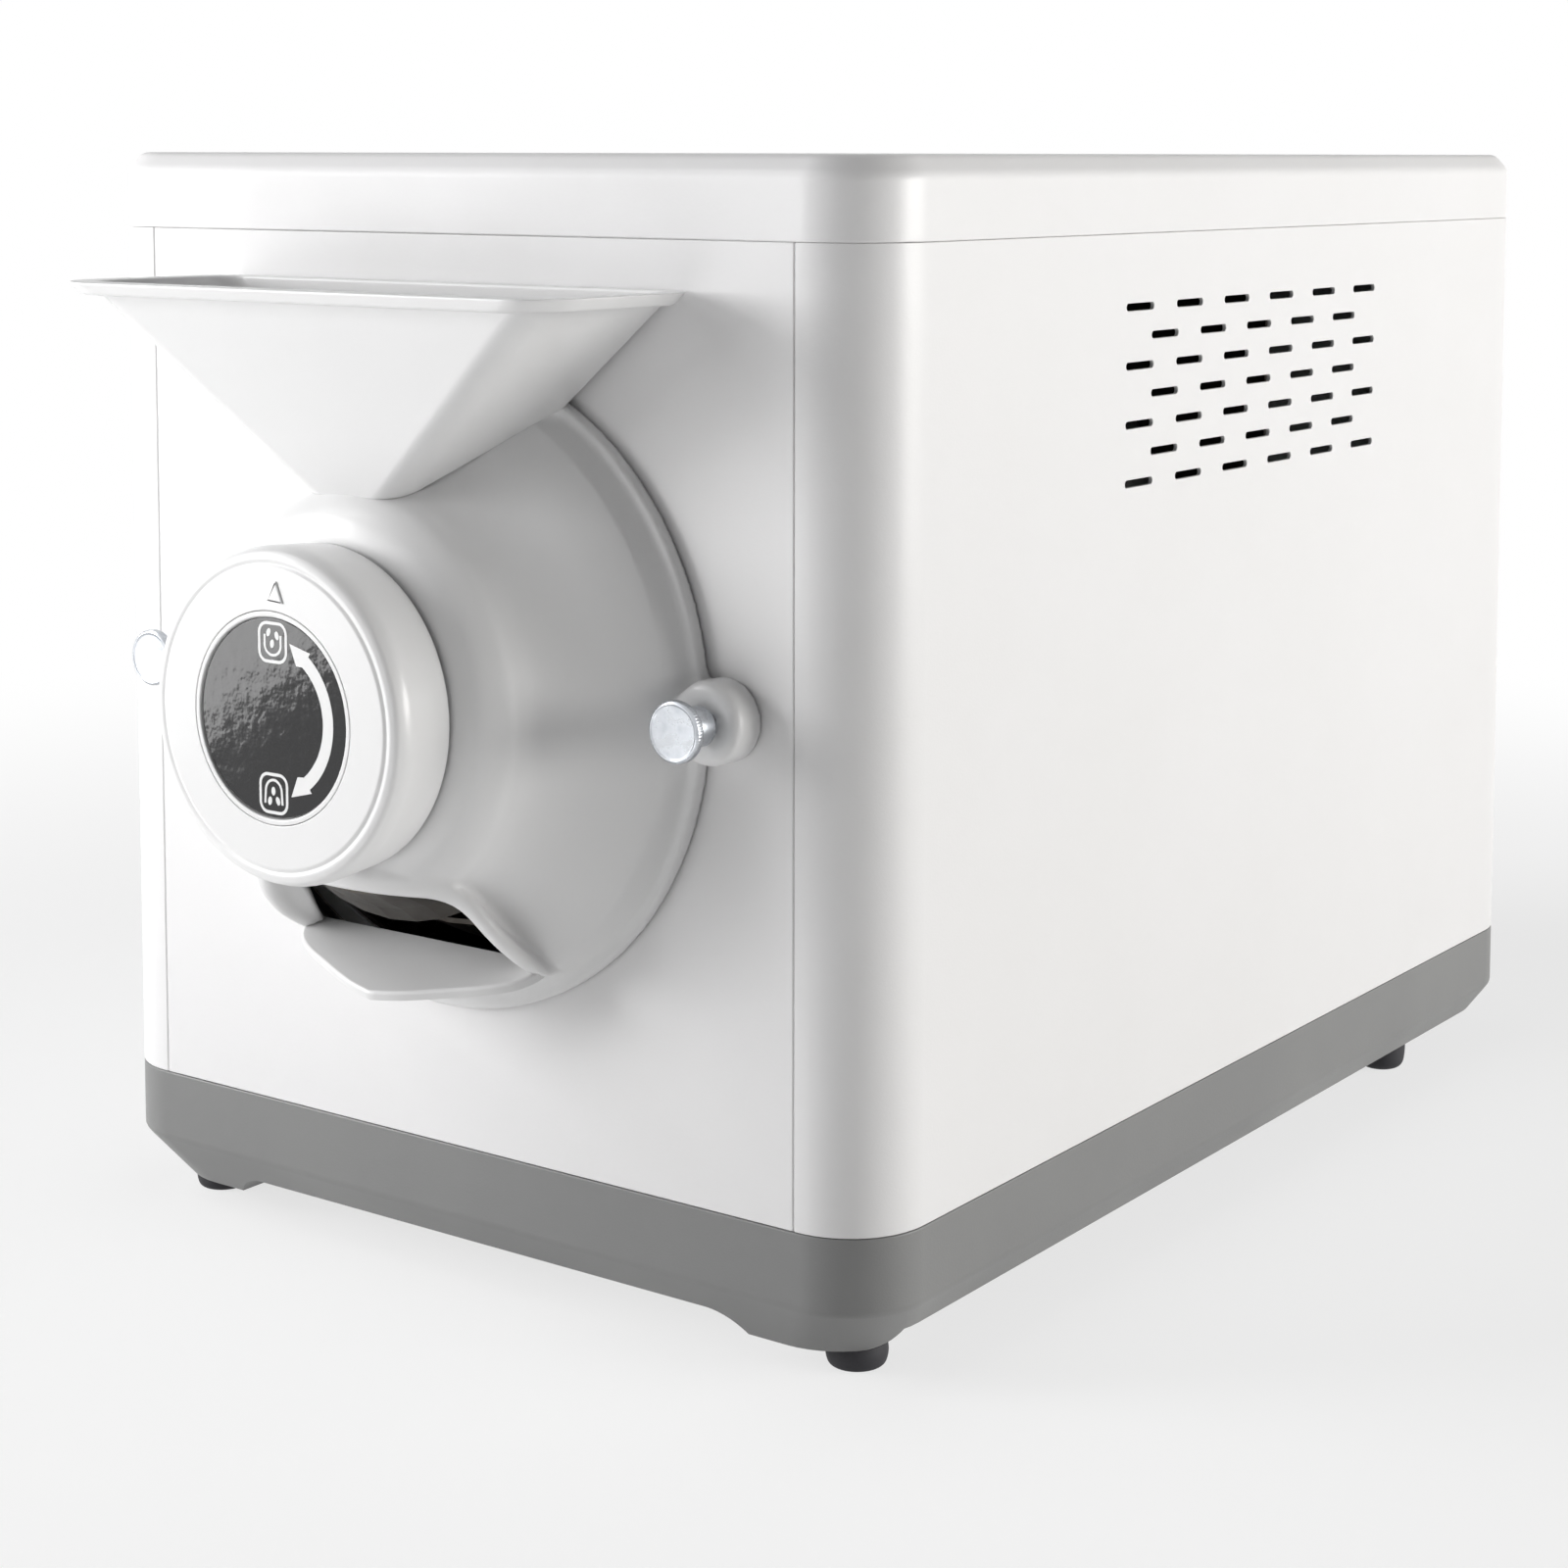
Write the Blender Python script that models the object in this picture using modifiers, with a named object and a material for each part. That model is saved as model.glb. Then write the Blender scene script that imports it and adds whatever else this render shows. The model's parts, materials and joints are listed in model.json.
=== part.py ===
"""Home coffee bean roaster: a sheet-metal cabinet on a moulded base, a turning drum
inside it, and a front cover with hopper, outlet and feed-or-discharge selector.

Metres, +Z up, the front faces -Y. The origin is the middle of the bounding box, on
the surface that the feet stand on. Places along the drum's axis are given as
"forward" distances from the outer face of the front panel, towards the user.
"""

import math

import bmesh
import bpy
from mathutils import Matrix, Vector

# Cabinet
body_width = 0.244
body_depth = 0.355
corner_radius = 0.0200
side_return = 0.0215
sheet = 0.0012
seam = 0.0004
fit = 0.0003
tab_length = 0.010
panel_screw_radius = 0.0017
panel_screw_head_radius = 0.0032
panel_screw_head_height = 0.0018
panel_screw_length = 0.008
panel_screw_inset = 0.018
opening_radius = 0.069

# Lid
shell_height = 0.2192
lid_band = 0.0145
lid_chamfer_in = 0.0038
lid_chamfer_up = 0.0043
lid_wall = 0.0025

# Base and feet
foot_height = 0.0058
foot_radius = 0.0074
foot_waist_radius = 0.0070
foot_tip_radius = 0.0062
foot_tip_height = 0.0012
foot_stem_radius = 0.0022
foot_stem_length = 0.005
front_foot_side_inset = 0.0190
front_foot_inset = 0.0215
rear_foot_side_inset = 0.0175
rear_foot_inset = 0.057
skirt_height = 0.0128
skirt_inset = 0.0082
skirt_corner_radius = 0.0210
base_band = 0.0175
arch_rise = 0.0053
arch_run = 0.0100
boss_length = 0.0152
boss_width = 0.040
base_wall = 0.0026
base_floor = 0.0025
ledge_width = 0.0035
ledge_drop = 0.004

# Chassis plate
chassis_sheet = 0.0015

# Side vents: rows of slots, every second row shifted by half a pitch and one slot shorter
slot_length = 0.0140
slot_width = 0.0023
slot_pitch = 0.02515
slot_row_pitch = 0.00717
slot_rows = 7
slots_in_long_row = 6
vent_from_front = 0.1073
vent_top_from_seam = 0.0178
rear_vent_rows = 7
rear_vent_slots = 3

# Drum axis and drum
axis_height = 0.1500
drum_radius = 0.066
drum_end_gap = 0.010
drum_wall = 0.0012
nose_radius = 0.0582
nose_mouth_radius = 0.057
nose_length = 0.016
nose_forward = 0.002
vane_height = 0.013
vane_sheet = 0.0012
vane_count = 3
vane_turn = math.radians(200)
vane_end_gap = 0.004
shaft_radius = 0.005
shaft_length = 0.040
shaft_flange_radius = 0.020
shaft_flange_thickness = 0.003

# Roasting chamber
shield_radius = 0.0895
shield_sheet = 0.001
rear_bay_depth = 0.155
bulkhead_sheet = 0.0015
bulkhead_half_width = 0.112
bulkhead_rise = 0.092
bulkhead_foot = 0.016
heater_rod_radius = 0.004
heater_circle_radius = 0.0755
heater_low_angle = math.radians(48)
heater_high_angle = math.radians(75)
heater_bend_depth = 0.040
heater_tail = 0.014
bearing_radius = 0.0107
bearing_flange_radius = 0.017
bearing_flange_thickness = 0.003
bearing_length = 0.012
sensor_radius = 0.008
sensor_height = 0.009
sensor_flange_radius = 0.012
sensor_flange_thickness = 0.0012
sensor_offset_x = 0.050
sensor_offset_z = 0.060

# Front rollers that carry the drum
roller_radius = 0.009
roller_width = 0.010
roller_depth = 0.020
roller_angle = math.radians(30)
roller_pin_radius = 0.0025
cradle_sheet = 0.0015
cradle_band = 0.0200
cradle_half_angle = math.radians(64)

# Drive
coupling_radius = 0.011
coupling_length = 0.024
coupling_gap = 0.002
motor_shaft_length = 0.018
gearbox_radius = 0.021
gearbox_length = 0.028
gearbox_boss_radius = 0.008
gearbox_boss_length = 0.005
motor_radius = 0.019
motor_length = 0.050
motor_tail_radius = 0.006
motor_tail_length = 0.004
bracket_sheet = 0.002
bracket_width = 0.056
bracket_foot = 0.022

# Cooling fan and rear controls
fan_size = 0.060
fan_depth = 0.015
fan_bore_radius = 0.0275
fan_hub_radius = 0.012
fan_strut_width = 0.005
fan_strut_depth = 0.003
fan_blade_count = 5
fan_blade_sheet = 0.0016
fan_blade_depth = 0.008
fan_blade_pitch = math.radians(35)
fan_tip_gap = 0.0015
fan_offset_x = 0.055
fan_offset_z = 0.055
inlet_width = 0.027
inlet_height = 0.0195
inlet_depth = 0.018
inlet_flange_width = 0.034
inlet_flange_height = 0.026
inlet_flange_thickness = 0.0022
inlet_recess_depth = 0.015
inlet_wall = 0.0022
inlet_pin_width = 0.004
inlet_pin_thickness = 0.002
inlet_pin_length = 0.010
inlet_pin_spacing = 0.007
inlet_offset_x = 0.070
control_height = 0.078
switch_width = 0.0190
switch_height = 0.0130
switch_depth = 0.016
switch_bezel_width = 0.0230
switch_bezel_height = 0.0170
switch_bezel_thickness = 0.0018
switch_wall = 0.0016
switch_offset_x = 0.030
rocker_tilt = math.radians(7)
rocker_thickness = 0.0035
rocker_gap = 0.0006
dial_radius = 0.014
dial_height = 0.012
dial_skirt_height = 0.003
dial_top_radius = 0.011
dial_shaft_radius = 0.003
dial_mark_width = 0.0016
dial_mark_depth = 0.0008
dial_offset_x = 0.070
dial_offset_z = 0.010
thermostat_width = 0.032
thermostat_depth = 0.020
thermostat_bush_radius = 0.0045
thermostat_bush_length = 0.004

# Control electronics and wiring
board_length = 0.070
board_width = 0.050
board_thickness = 0.0016
board_post_radius = 0.003
board_post_height = 0.008
board_post_inset = 0.006
carrier_thickness = 0.002
board_offset_x = 0.070
board_from_rear = 0.080
relay_size = (0.019, 0.015, 0.015)
capacitor_radius = 0.005
capacitor_height = 0.012
part_sink = 0.0003
terminal_length = 0.044
terminal_width = 0.018
terminal_height = 0.012
terminal_tower_radius = 0.0035
terminal_tower_height = 0.006
terminal_count = 4
terminal_offset_x = 0.030
terminal_from_rear = 0.030

# Front cover
gasket_thickness = 0.0008
gasket_width = 0.005
rim_radius = 0.078
rim_height = 0.0035
neck_radius = 0.048
neck_end = 0.0350
shoulder_radius = 0.037
cover_face = 0.0405
cover_wall = 0.0022
post_radius = 0.0060
post_end = 0.0535
stub_length = 0.0085
hub_screw_radius = 0.0020
hub_screw_head_radius = 0.0040
hub_screw_head_height = 0.0020
hub_screw_length = 0.012
slot_circle_radius = 0.024
drive_pin_radius = 0.0025
drive_pin_clearance = 0.0006
lug_offset = 0.0825
lug_radius = 0.0095
lug_face = 0.0090
lug_hole_radius = 0.0026

# Outlet in the cover: a flaring hood cut off by a dome, over a sloping tongue
mouth_top = 0.0415
hood_wall = 0.0035
hood_side_wall = 0.0028
hood_back = 0.0040
hood_back_top = 0.0100
hood_back_bottom = 0.0360
hood_front = 0.0410
hood_front_top = 0.0370
hood_front_bottom = 0.0600
hood_bottom = 0.0640
hood_corner = 0.0080
tongue_half_width = 0.0375
tongue_thickness = 0.0024
tongue_reach = 0.0312
tongue_back = 0.0030
tongue_edge_forward = 0.0114
tongue_edge_drop = 0.0614
tongue_slope = math.radians(21.7)

# Hopper
hopper_top = 0.0950
hopper_lip = 0.0030
hopper_lip_out = 0.0045
hopper_lip_back = 0.0012
hopper_half_width = 0.0730
hopper_front = 0.0505
hopper_back = 0.0020
hopper_corner = 0.0085
hopper_back_corner = 0.0070
throat_height = 0.0470
throat_half_width = 0.0140
throat_front = 0.0350
throat_corner = 0.0070
throat_back_corner = 0.0020
hopper_wall = 0.0020
throat_hole_half_width = 0.0115
throat_hole_front = 0.0315
throat_hole_back = 0.0125

# Selector
knob_front = 0.0590
knob_radius = 0.0385
knob_back_radius = 0.0374
knob_edge_radius = 0.0035
knob_wall = 0.0022
knob_gap = 0.0009
knob_bore_radius = 0.0244
knob_web_front = 0.0530
knob_web_thickness = 0.0025
pointer_length = 0.0048
pointer_width = 0.0050
pointer_rise = 0.0005
pointer_radius = 0.0287
label_hub_radius = 0.0240
label_rim_width = 0.0010
label_radius = 0.0227
label_thickness = 0.0005
label_recess = 0.0009
shutter_gap = 0.0010
shutter_sheet = 0.0015
shutter_edge_radius = 0.0555
shutter_hub_radius = 0.0095
shutter_hub_length = 0.0045

# Thumbscrews
thumb_head_radius = 0.0070
thumb_head_height = 0.0055
thumb_head_front = 0.0200
thumb_neck_radius = 0.0040
thumb_shank_radius = 0.0022
thumb_shank_depth = 0.0080
nut_radius = 0.0050
nut_height = 0.0045

# One overrun serves every cut
overrun = 0.004

# Curves of the bell, as shares of its radius and of its depth, from rim to neck
bell_shares = (
    (1.000, 0.000),
    (0.957, 0.060),
    (0.873, 0.149),
    (0.733, 0.270),
    (0.573, 0.397),
    (0.400, 0.524),
    (0.250, 0.651),
    (0.135, 0.778),
    (0.055, 0.905),
    (0.000, 1.000),
)

# Front edge of the hood, as shares of the rim's radius and of the cover's depth
dome_shares = (
    (0.970, 0.110),
    (0.932, 0.281),
    (0.885, 0.459),
    (0.846, 0.556),
    (0.800, 0.642),
    (0.737, 0.721),
    (0.672, 0.790),
    (0.615, 0.877),
    (0.538, 0.973),
    (0.474, 1.000),
)

# Front edge of the tongue, as shares of its half width and of its reach
tongue_shares = (
    (1.000, 0.000),
    (0.975, 0.150),
    (0.900, 0.330),
    (0.750, 0.500),
    (0.570, 0.640),
    (0.390, 0.780),
    (0.200, 0.910),
    (0.000, 1.000),
)

# Facets of round pieces
big_steps = 40
medium_steps = 24
small_steps = 16
corner_steps = 5
weld = 0.00001

# Worked out from the sizes above
pi = math.pi
boss_bottom = foot_height + fit
skirt_top = boss_bottom + skirt_height
base_top = skirt_top + base_band
arch_top = boss_bottom + arch_rise
floor_top = arch_top + base_floor
ledge_height = base_top - ledge_drop
chassis_bottom = ledge_height + fit
chassis_top = chassis_bottom + chassis_sheet
shell_bottom = base_top + seam
shell_top = shell_bottom + shell_height
lid_bottom = shell_top + seam
lid_top = lid_bottom + lid_band + lid_chamfer_up
rear_reach = fit + dial_height
front_y = (knob_front + pointer_rise - body_depth - rear_reach) / 2
rear_y = front_y + body_depth
return_x = body_width / 2 - side_return
tab_x = return_x - tab_length
cover_back = gasket_thickness + 2 * fit
facing_front = (pi / 2, 0, 0)
facing_side = (pi / 2, 0, pi / 2)
on_axis = (0, front_y, axis_height)

for item in list(bpy.data.objects):
    bpy.data.objects.remove(item, do_unlink=True)

parts = bpy.data.collections.new("coffee_roaster")
helpers = bpy.data.collections.new("cutters")
bpy.context.scene.collection.children.link(parts)
bpy.context.scene.collection.children.link(helpers)

colours = {
    "shell_white": ((0.87, 0.87, 0.87), 0.45, 0.0),
    "gloss_white": ((0.80, 0.80, 0.81), 0.18, 0.0),
    "base_grey": ((0.22, 0.22, 0.22), 0.50, 0.0),
    "rubber_black": ((0.016, 0.016, 0.018), 0.80, 0.0),
    "zinc_steel": ((0.62, 0.65, 0.69), 0.30, 1.0),
    "drum_steel": ((0.55, 0.54, 0.52), 0.38, 1.0),
    "aluminium": ((0.70, 0.70, 0.71), 0.40, 1.0),
    "bearing_brass": ((0.66, 0.50, 0.23), 0.35, 1.0),
    "black_plastic": ((0.020, 0.020, 0.022), 0.45, 0.0),
    "label_black": ((0.045, 0.045, 0.048), 0.12, 0.0),
    "board_green": ((0.02, 0.16, 0.07), 0.50, 0.0),
    "seal_fibre": ((0.35, 0.33, 0.30), 0.90, 0.0),
}


def material(slot):
    """The Principled material of a slot, made once."""
    known = bpy.data.materials.get(slot)
    if known:
        return known
    colour, roughness, metallic = colours[slot]
    made = bpy.data.materials.new(slot)
    made.use_nodes = True
    shader = made.node_tree.nodes["Principled BSDF"]
    shader.inputs["Base Color"].default_value = (*colour, 1.0)
    shader.inputs["Roughness"].default_value = roughness
    shader.inputs["Metallic"].default_value = metallic
    made.diffuse_color = (*colour, 1.0)
    return made


def add_object(name, mesh, slot, location=(0, 0, 0), rotation=(0, 0, 0)):
    """Places a mesh as a named part, shaded smooth except at its sharp edges."""
    obj = bpy.data.objects.new(name, mesh)
    parts.objects.link(obj)
    obj.location = location
    obj.rotation_euler = rotation
    mesh.materials.append(material(slot))
    if mesh.polygons:
        mesh.shade_smooth()
        mesh.set_sharp_from_angle(angle=math.radians(35))
    return obj


def mesh_from(name, build):
    """A mesh filled by a function that works on a BMesh."""
    mesh = bpy.data.meshes.new(name)
    work = bmesh.new()
    build(work)
    bmesh.ops.recalc_face_normals(work, faces=work.faces)
    work.to_mesh(mesh)
    work.free()
    return mesh


def box(name, low, high, slot):
    """A block between two corners, with its origin in its middle."""
    low = Vector(low)
    high = Vector(high)
    size = Matrix.Diagonal((*(high - low), 1))

    def build(work):
        bmesh.ops.create_cube(work, size=1, matrix=size)

    return add_object(name, mesh_from(name, build), slot, (low + high) / 2)


def cylinder(name, radius, length, slot, location, rotation=(0, 0, 0), steps=small_steps):
    """A rod about its own Z, centred on its location."""

    def build(work):
        bmesh.ops.create_cone(
            work, cap_ends=True, segments=steps, radius1=radius, radius2=radius, depth=length
        )

    return add_object(name, mesh_from(name, build), slot, location, rotation)


def turned(name, profile, slot, location=on_axis, rotation=facing_front, steps=big_steps):
    """Turns (radius, height) points about local Z. A profile that leaves the axis is
    closed on itself, one that starts and ends on it is closed by the axis."""
    open_ended = profile[0][0] == 0 and profile[-1][0] == 0
    pairs = zip(profile, profile[1:] + profile[:1])
    area = sum(a[0] * b[1] - b[0] * a[1] for a, b in pairs)
    points = profile if area < 0 else profile[::-1]
    count = len(points)
    edges = [(i, i + 1) for i in range(count - 1)]
    if not open_ended:
        edges.append((count - 1, 0))
    mesh = bpy.data.meshes.new(name)
    mesh.from_pydata([(r, 0, h) for r, h in points], edges, [])
    obj = add_object(name, mesh, slot, location, rotation)
    screw = obj.modifiers.new("turn", "SCREW")
    screw.steps = steps
    screw.render_steps = steps
    screw.use_merge_vertices = True
    screw.merge_threshold = weld
    screw.use_smooth_shade = True
    return obj


def evaluated_mesh(obj, name):
    """The object's mesh with its modifiers and curve settings worked in."""
    bpy.context.view_layer.update()
    graph = bpy.context.evaluated_depsgraph_get()
    return bpy.data.meshes.new_from_object(obj.evaluated_get(graph))


def plate(name, outlines, thickness, slot, location=(0, 0, 0), rotation=(0, 0, 0)):
    """A flat piece cut to its outlines; an outline inside another is a hole."""
    curve = bpy.data.curves.new(name + "_outline", "CURVE")
    curve.dimensions = "2D"
    curve.fill_mode = "BOTH"
    curve.extrude = thickness / 2
    for outline in outlines:
        spline = curve.splines.new("POLY")
        spline.points.add(len(outline) - 1)
        for point, (x, y) in zip(spline.points, outline):
            point.co = (x, y, 0, 1)
        spline.use_cyclic_u = True
    guide = bpy.data.objects.new(name + "_outline", curve)
    helpers.objects.link(guide)
    mesh = evaluated_mesh(guide, name)
    bpy.data.objects.remove(guide, do_unlink=True)
    work = bmesh.new()
    work.from_mesh(mesh)
    bmesh.ops.remove_doubles(work, verts=work.verts, dist=weld)
    bmesh.ops.recalc_face_normals(work, faces=work.faces)
    work.to_mesh(mesh)
    work.free()
    mesh.name = name
    mesh.materials.clear()
    return add_object(name, mesh, slot, location, rotation)


def loft(name, rings, slot, location=(0, 0, 0), rotation=(0, 0, 0)):
    """A closed solid through rings of equally many points, capped at both ends."""

    def build(work):
        rows = [[work.verts.new(point) for point in ring] for ring in rings]
        for lower, upper in zip(rows, rows[1:]):
            for i, corner in enumerate(lower):
                after = (i + 1) % len(lower)
                work.faces.new((corner, lower[after], upper[after], upper[i]))
        work.faces.new(rows[0])
        work.faces.new(rows[-1])

    return add_object(name, mesh_from(name, build), slot, location, rotation)


def tube(name, points, radius, slot, resolution=2):
    """A wire or rod along its points, made a mesh with its end caps welded."""
    curve = bpy.data.curves.new(name + "_path", "CURVE")
    curve.dimensions = "3D"
    curve.bevel_depth = radius
    curve.bevel_resolution = resolution
    curve.use_fill_caps = True
    spline = curve.splines.new("POLY")
    spline.points.add(len(points) - 1)
    for point, place in zip(spline.points, points):
        point.co = (*place, 1)
    guide = bpy.data.objects.new(name + "_path", curve)
    helpers.objects.link(guide)
    mesh = evaluated_mesh(guide, name)
    bpy.data.objects.remove(guide, do_unlink=True)
    work = bmesh.new()
    work.from_mesh(mesh)
    bmesh.ops.remove_doubles(work, verts=work.verts, dist=weld)
    bmesh.ops.recalc_face_normals(work, faces=work.faces)
    work.to_mesh(mesh)
    work.free()
    mesh.name = name
    mesh.materials.clear()
    return add_object(name, mesh, slot)


def boolean(obj, other, operation):
    """Adds a Boolean with another solid, which becomes a hidden helper."""
    if other.name in parts.objects:
        parts.objects.unlink(other)
        helpers.objects.link(other)
    other.hide_render = True
    other.display_type = "WIRE"
    step = obj.modifiers.new(operation.lower() + "_" + other.name, "BOOLEAN")
    step.operation = operation
    step.object = other
    step.solver = "EXACT"


def cut(obj, *others):
    for other in others:
        boolean(obj, other, "DIFFERENCE")


def join(obj, *others):
    for other in others:
        boolean(obj, other, "UNION")


def keep_inside(obj, other):
    boolean(obj, other, "INTERSECT")


def arc(centre, radius, start, end, steps):
    """Points of an arc from one angle to another, both ends included."""
    angles = [start + (end - start) * i / steps for i in range(steps + 1)]
    return [(centre[0] + radius * math.cos(a), centre[1] + radius * math.sin(a)) for a in angles]


def circle(centre, radius, steps=small_steps):
    return arc(centre, radius, 0, 2 * pi, steps)[:-1]


def rectangle(width, height, centre=(0, 0)):
    half_w = width / 2
    half_h = height / 2
    corners = ((half_w, half_h), (-half_w, half_h), (-half_w, -half_h), (half_w, -half_h))
    return [(centre[0] + x, centre[1] + y) for x, y in corners]


def rounded(width, depth, radii, steps=corner_steps, centre=(0, 0)):
    """A rectangle with a radius at each corner: +x+y, -x+y, -x-y, +x-y."""
    points = []
    signs = ((1, 1), (-1, 1), (-1, -1), (1, -1))
    for quarter, ((sx, sy), radius) in enumerate(zip(signs, radii)):
        middle = (centre[0] + sx * (width / 2 - radius), centre[1] + sy * (depth / 2 - radius))
        start = quarter * pi / 2
        points += arc(middle, radius, start, start + pi / 2, steps)
    return points


def body_outline(inset):
    """The cabinet's plan, moved inwards, about the cabinet's middle."""
    width = body_width - 2 * inset
    depth = body_depth - 2 * inset
    return rounded(width, depth, 4 * (corner_radius - inset,))


def at_height(outline, height):
    return [(x, y, height) for x, y in outline]


def slot_outline(centre, length, width):
    """A slot with rounded ends, along local X."""
    radius = width / 2
    reach = length / 2 - radius
    right = arc((centre[0] + reach, centre[1]), radius, -pi / 2, pi / 2, 2)
    left = arc((centre[0] - reach, centre[1]), radius, pi / 2, 3 * pi / 2, 2)
    return right + left


def offset_line(points, distance):
    """Moves a line of points to its left by a distance, mitred at its corners."""
    moved = []
    for i, point in enumerate(points):
        before = Vector(points[max(i - 1, 0)])
        here = Vector(point)
        after = Vector(points[min(i + 1, len(points) - 1)])
        first = (here - before) if i else (after - here)
        second = (after - here) if i + 1 < len(points) else (here - before)
        n1 = Vector((-first.y, first.x)).normalized()
        n2 = Vector((-second.y, second.x)).normalized()
        middle = (n1 + n2).normalized()
        moved.append(tuple(here + middle * distance / middle.dot(n1)))
    return moved


# Cabinet

cabinet_middle = (0, front_y + body_depth / 2, 0)


def make_base():
    """The moulded grey tray: a band, a sloping skirt, corner bosses and arches between."""
    skirt_width = body_width - 2 * skirt_inset
    skirt_depth = body_depth - 2 * skirt_inset
    skirt_foot = rounded(skirt_width, skirt_depth, 4 * (skirt_corner_radius,))
    rings = (
        at_height(skirt_foot, boss_bottom),
        at_height(body_outline(0), skirt_top),
        at_height(body_outline(0), base_top),
    )
    tray = loft("base_tray", rings, "base_grey", cabinet_middle)
    under = boss_bottom - overrun
    inner_x = body_width / 2 - boss_width
    sweep = (arch_run**2 + arch_rise**2) / (2 * arch_rise)
    curve = arc((inner_x - arch_run, arch_top - sweep), sweep, math.acos(arch_run / sweep), pi / 2, corner_steps)
    half = [(inner_x, under)] + curve
    across = plate(
        "arch_across",
        [half + [(-x, z) for x, z in reversed(half)]],
        body_depth + 2 * overrun,
        "base_grey",
        (0, cabinet_middle[1], 0),
        facing_front,
    )
    boss_end = front_y + boss_length
    after = rear_y + overrun
    curve = arc((boss_end, arch_top), arch_rise, -pi / 2, 0, corner_steps)
    along = plate(
        "arch_along",
        [[(boss_end, under)] + curve + [(after, arch_top), (after, under)]],
        body_width + 2 * overrun,
        "base_grey",
        (0, 0, 0),
        facing_side,
    )
    upper = plate(
        "upper_pocket",
        [body_outline(base_wall)],
        ledge_drop + overrun,
        "base_grey",
        (0, cabinet_middle[1], ledge_height + (ledge_drop + overrun) / 2),
    )
    lower_depth = ledge_height + overrun / 2 - floor_top
    lower = plate(
        "lower_pocket",
        [body_outline(base_wall + ledge_width)],
        lower_depth,
        "base_grey",
        (0, cabinet_middle[1], floor_top + lower_depth / 2),
    )
    for index, (x, y, height) in enumerate(foot_places().values()):
        if height == foot_height:
            pad = cylinder(
                f"foot_pad_{index}",
                foot_radius,
                arch_rise + 4 * overrun,
                "base_grey",
                (x, y, (arch_top + boss_bottom) / 2),
                steps=medium_steps,
            )
            cut(across, pad)
            cut(along, pad)
    cut(tray, across, along, upper, lower)
    for index, (x, y, height) in enumerate(foot_places().values()):
        depth = foot_stem_length + fit + overrun
        hole = cylinder(
            f"stem_hole_{index}",
            foot_stem_radius + fit,
            depth,
            "base_grey",
            (x, y, height + foot_stem_length + 2 * fit - depth / 2),
            steps=12,
        )
        cut(tray, hole)


def foot_places():
    """Each foot's middle and height: the front ones stand under the bosses."""
    side = body_width / 2
    front = front_y + front_foot_inset
    rear = rear_y - rear_foot_inset
    return {
        "foot_front_left": (front_foot_side_inset - side, front, foot_height),
        "foot_front_right": (side - front_foot_side_inset, front, foot_height),
        "foot_rear_left": (rear_foot_side_inset - side, rear, arch_top - fit),
        "foot_rear_right": (side - rear_foot_side_inset, rear, arch_top - fit),
    }


def make_feet():
    for name, (x, y, height) in foot_places().items():
        profile = [
            (0, 0),
            (foot_tip_radius, 0),
            (foot_radius, foot_tip_height),
            (foot_radius, height / 2),
            (foot_waist_radius, height - foot_tip_height),
            (foot_waist_radius, height),
            (foot_stem_radius, height),
            (foot_stem_radius, height + foot_stem_length),
            (0, height + foot_stem_length),
        ]
        turned(name, profile, "rubber_black", (x, y, 0), (0, 0, 0), medium_steps)


def make_chassis():
    plate(
        "chassis_plate",
        [body_outline(base_wall + fit)],
        chassis_sheet,
        "drum_steel",
        (0, cabinet_middle[1], chassis_bottom + chassis_sheet / 2),
    )


def shell_outline():
    """Plan of the right side shell about the cabinet's middle: side, rounded corners,
    returns and the joggled tabs that carry the front and rear panels."""
    half_w = body_width / 2
    half_d = body_depth / 2
    joggle = sheet + fit
    centre = (half_w - corner_radius, corner_radius - half_d)
    inner = corner_radius - sheet
    front_outer = [
        (tab_x, joggle - half_d),
        (return_x, joggle - half_d),
        (return_x, -half_d),
    ] + arc(centre, corner_radius, -pi / 2, 0, corner_steps)
    front_inner = [
        (tab_x, joggle + sheet - half_d),
        (return_x + sheet, joggle + sheet - half_d),
        (return_x + sheet, sheet - half_d),
    ] + arc(centre, inner, -pi / 2, 0, corner_steps)
    rear_outer = [(x, -y) for x, y in reversed(front_outer)]
    rear_inner = [(x, -y) for x, y in front_inner]
    return front_outer + rear_outer + rear_inner + front_inner[::-1]


def vent_outlines():
    """Slots of a side vent, as (distance from the front, height) outlines."""
    top = shell_top - vent_top_from_seam
    first = front_y + vent_from_front + slot_length / 2
    outlines = []
    for row in range(slot_rows):
        short = row % 2
        for column in range(slots_in_long_row - short):
            along = first + slot_pitch * (column + short / 2)
            outlines.append(slot_outline((along, top - row * slot_row_pitch), slot_length, slot_width))
    return outlines


def screw_places():
    """Rear panel screws: name to (x, z)."""
    x = (tab_x + return_x) / 2
    high = shell_top - panel_screw_inset
    low = shell_bottom + panel_screw_inset
    return {
        "rear_screw_upper_left": (-x, high),
        "rear_screw_upper_right": (x, high),
        "rear_screw_lower_left": (-x, low),
        "rear_screw_lower_right": (x, low),
    }


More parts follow.
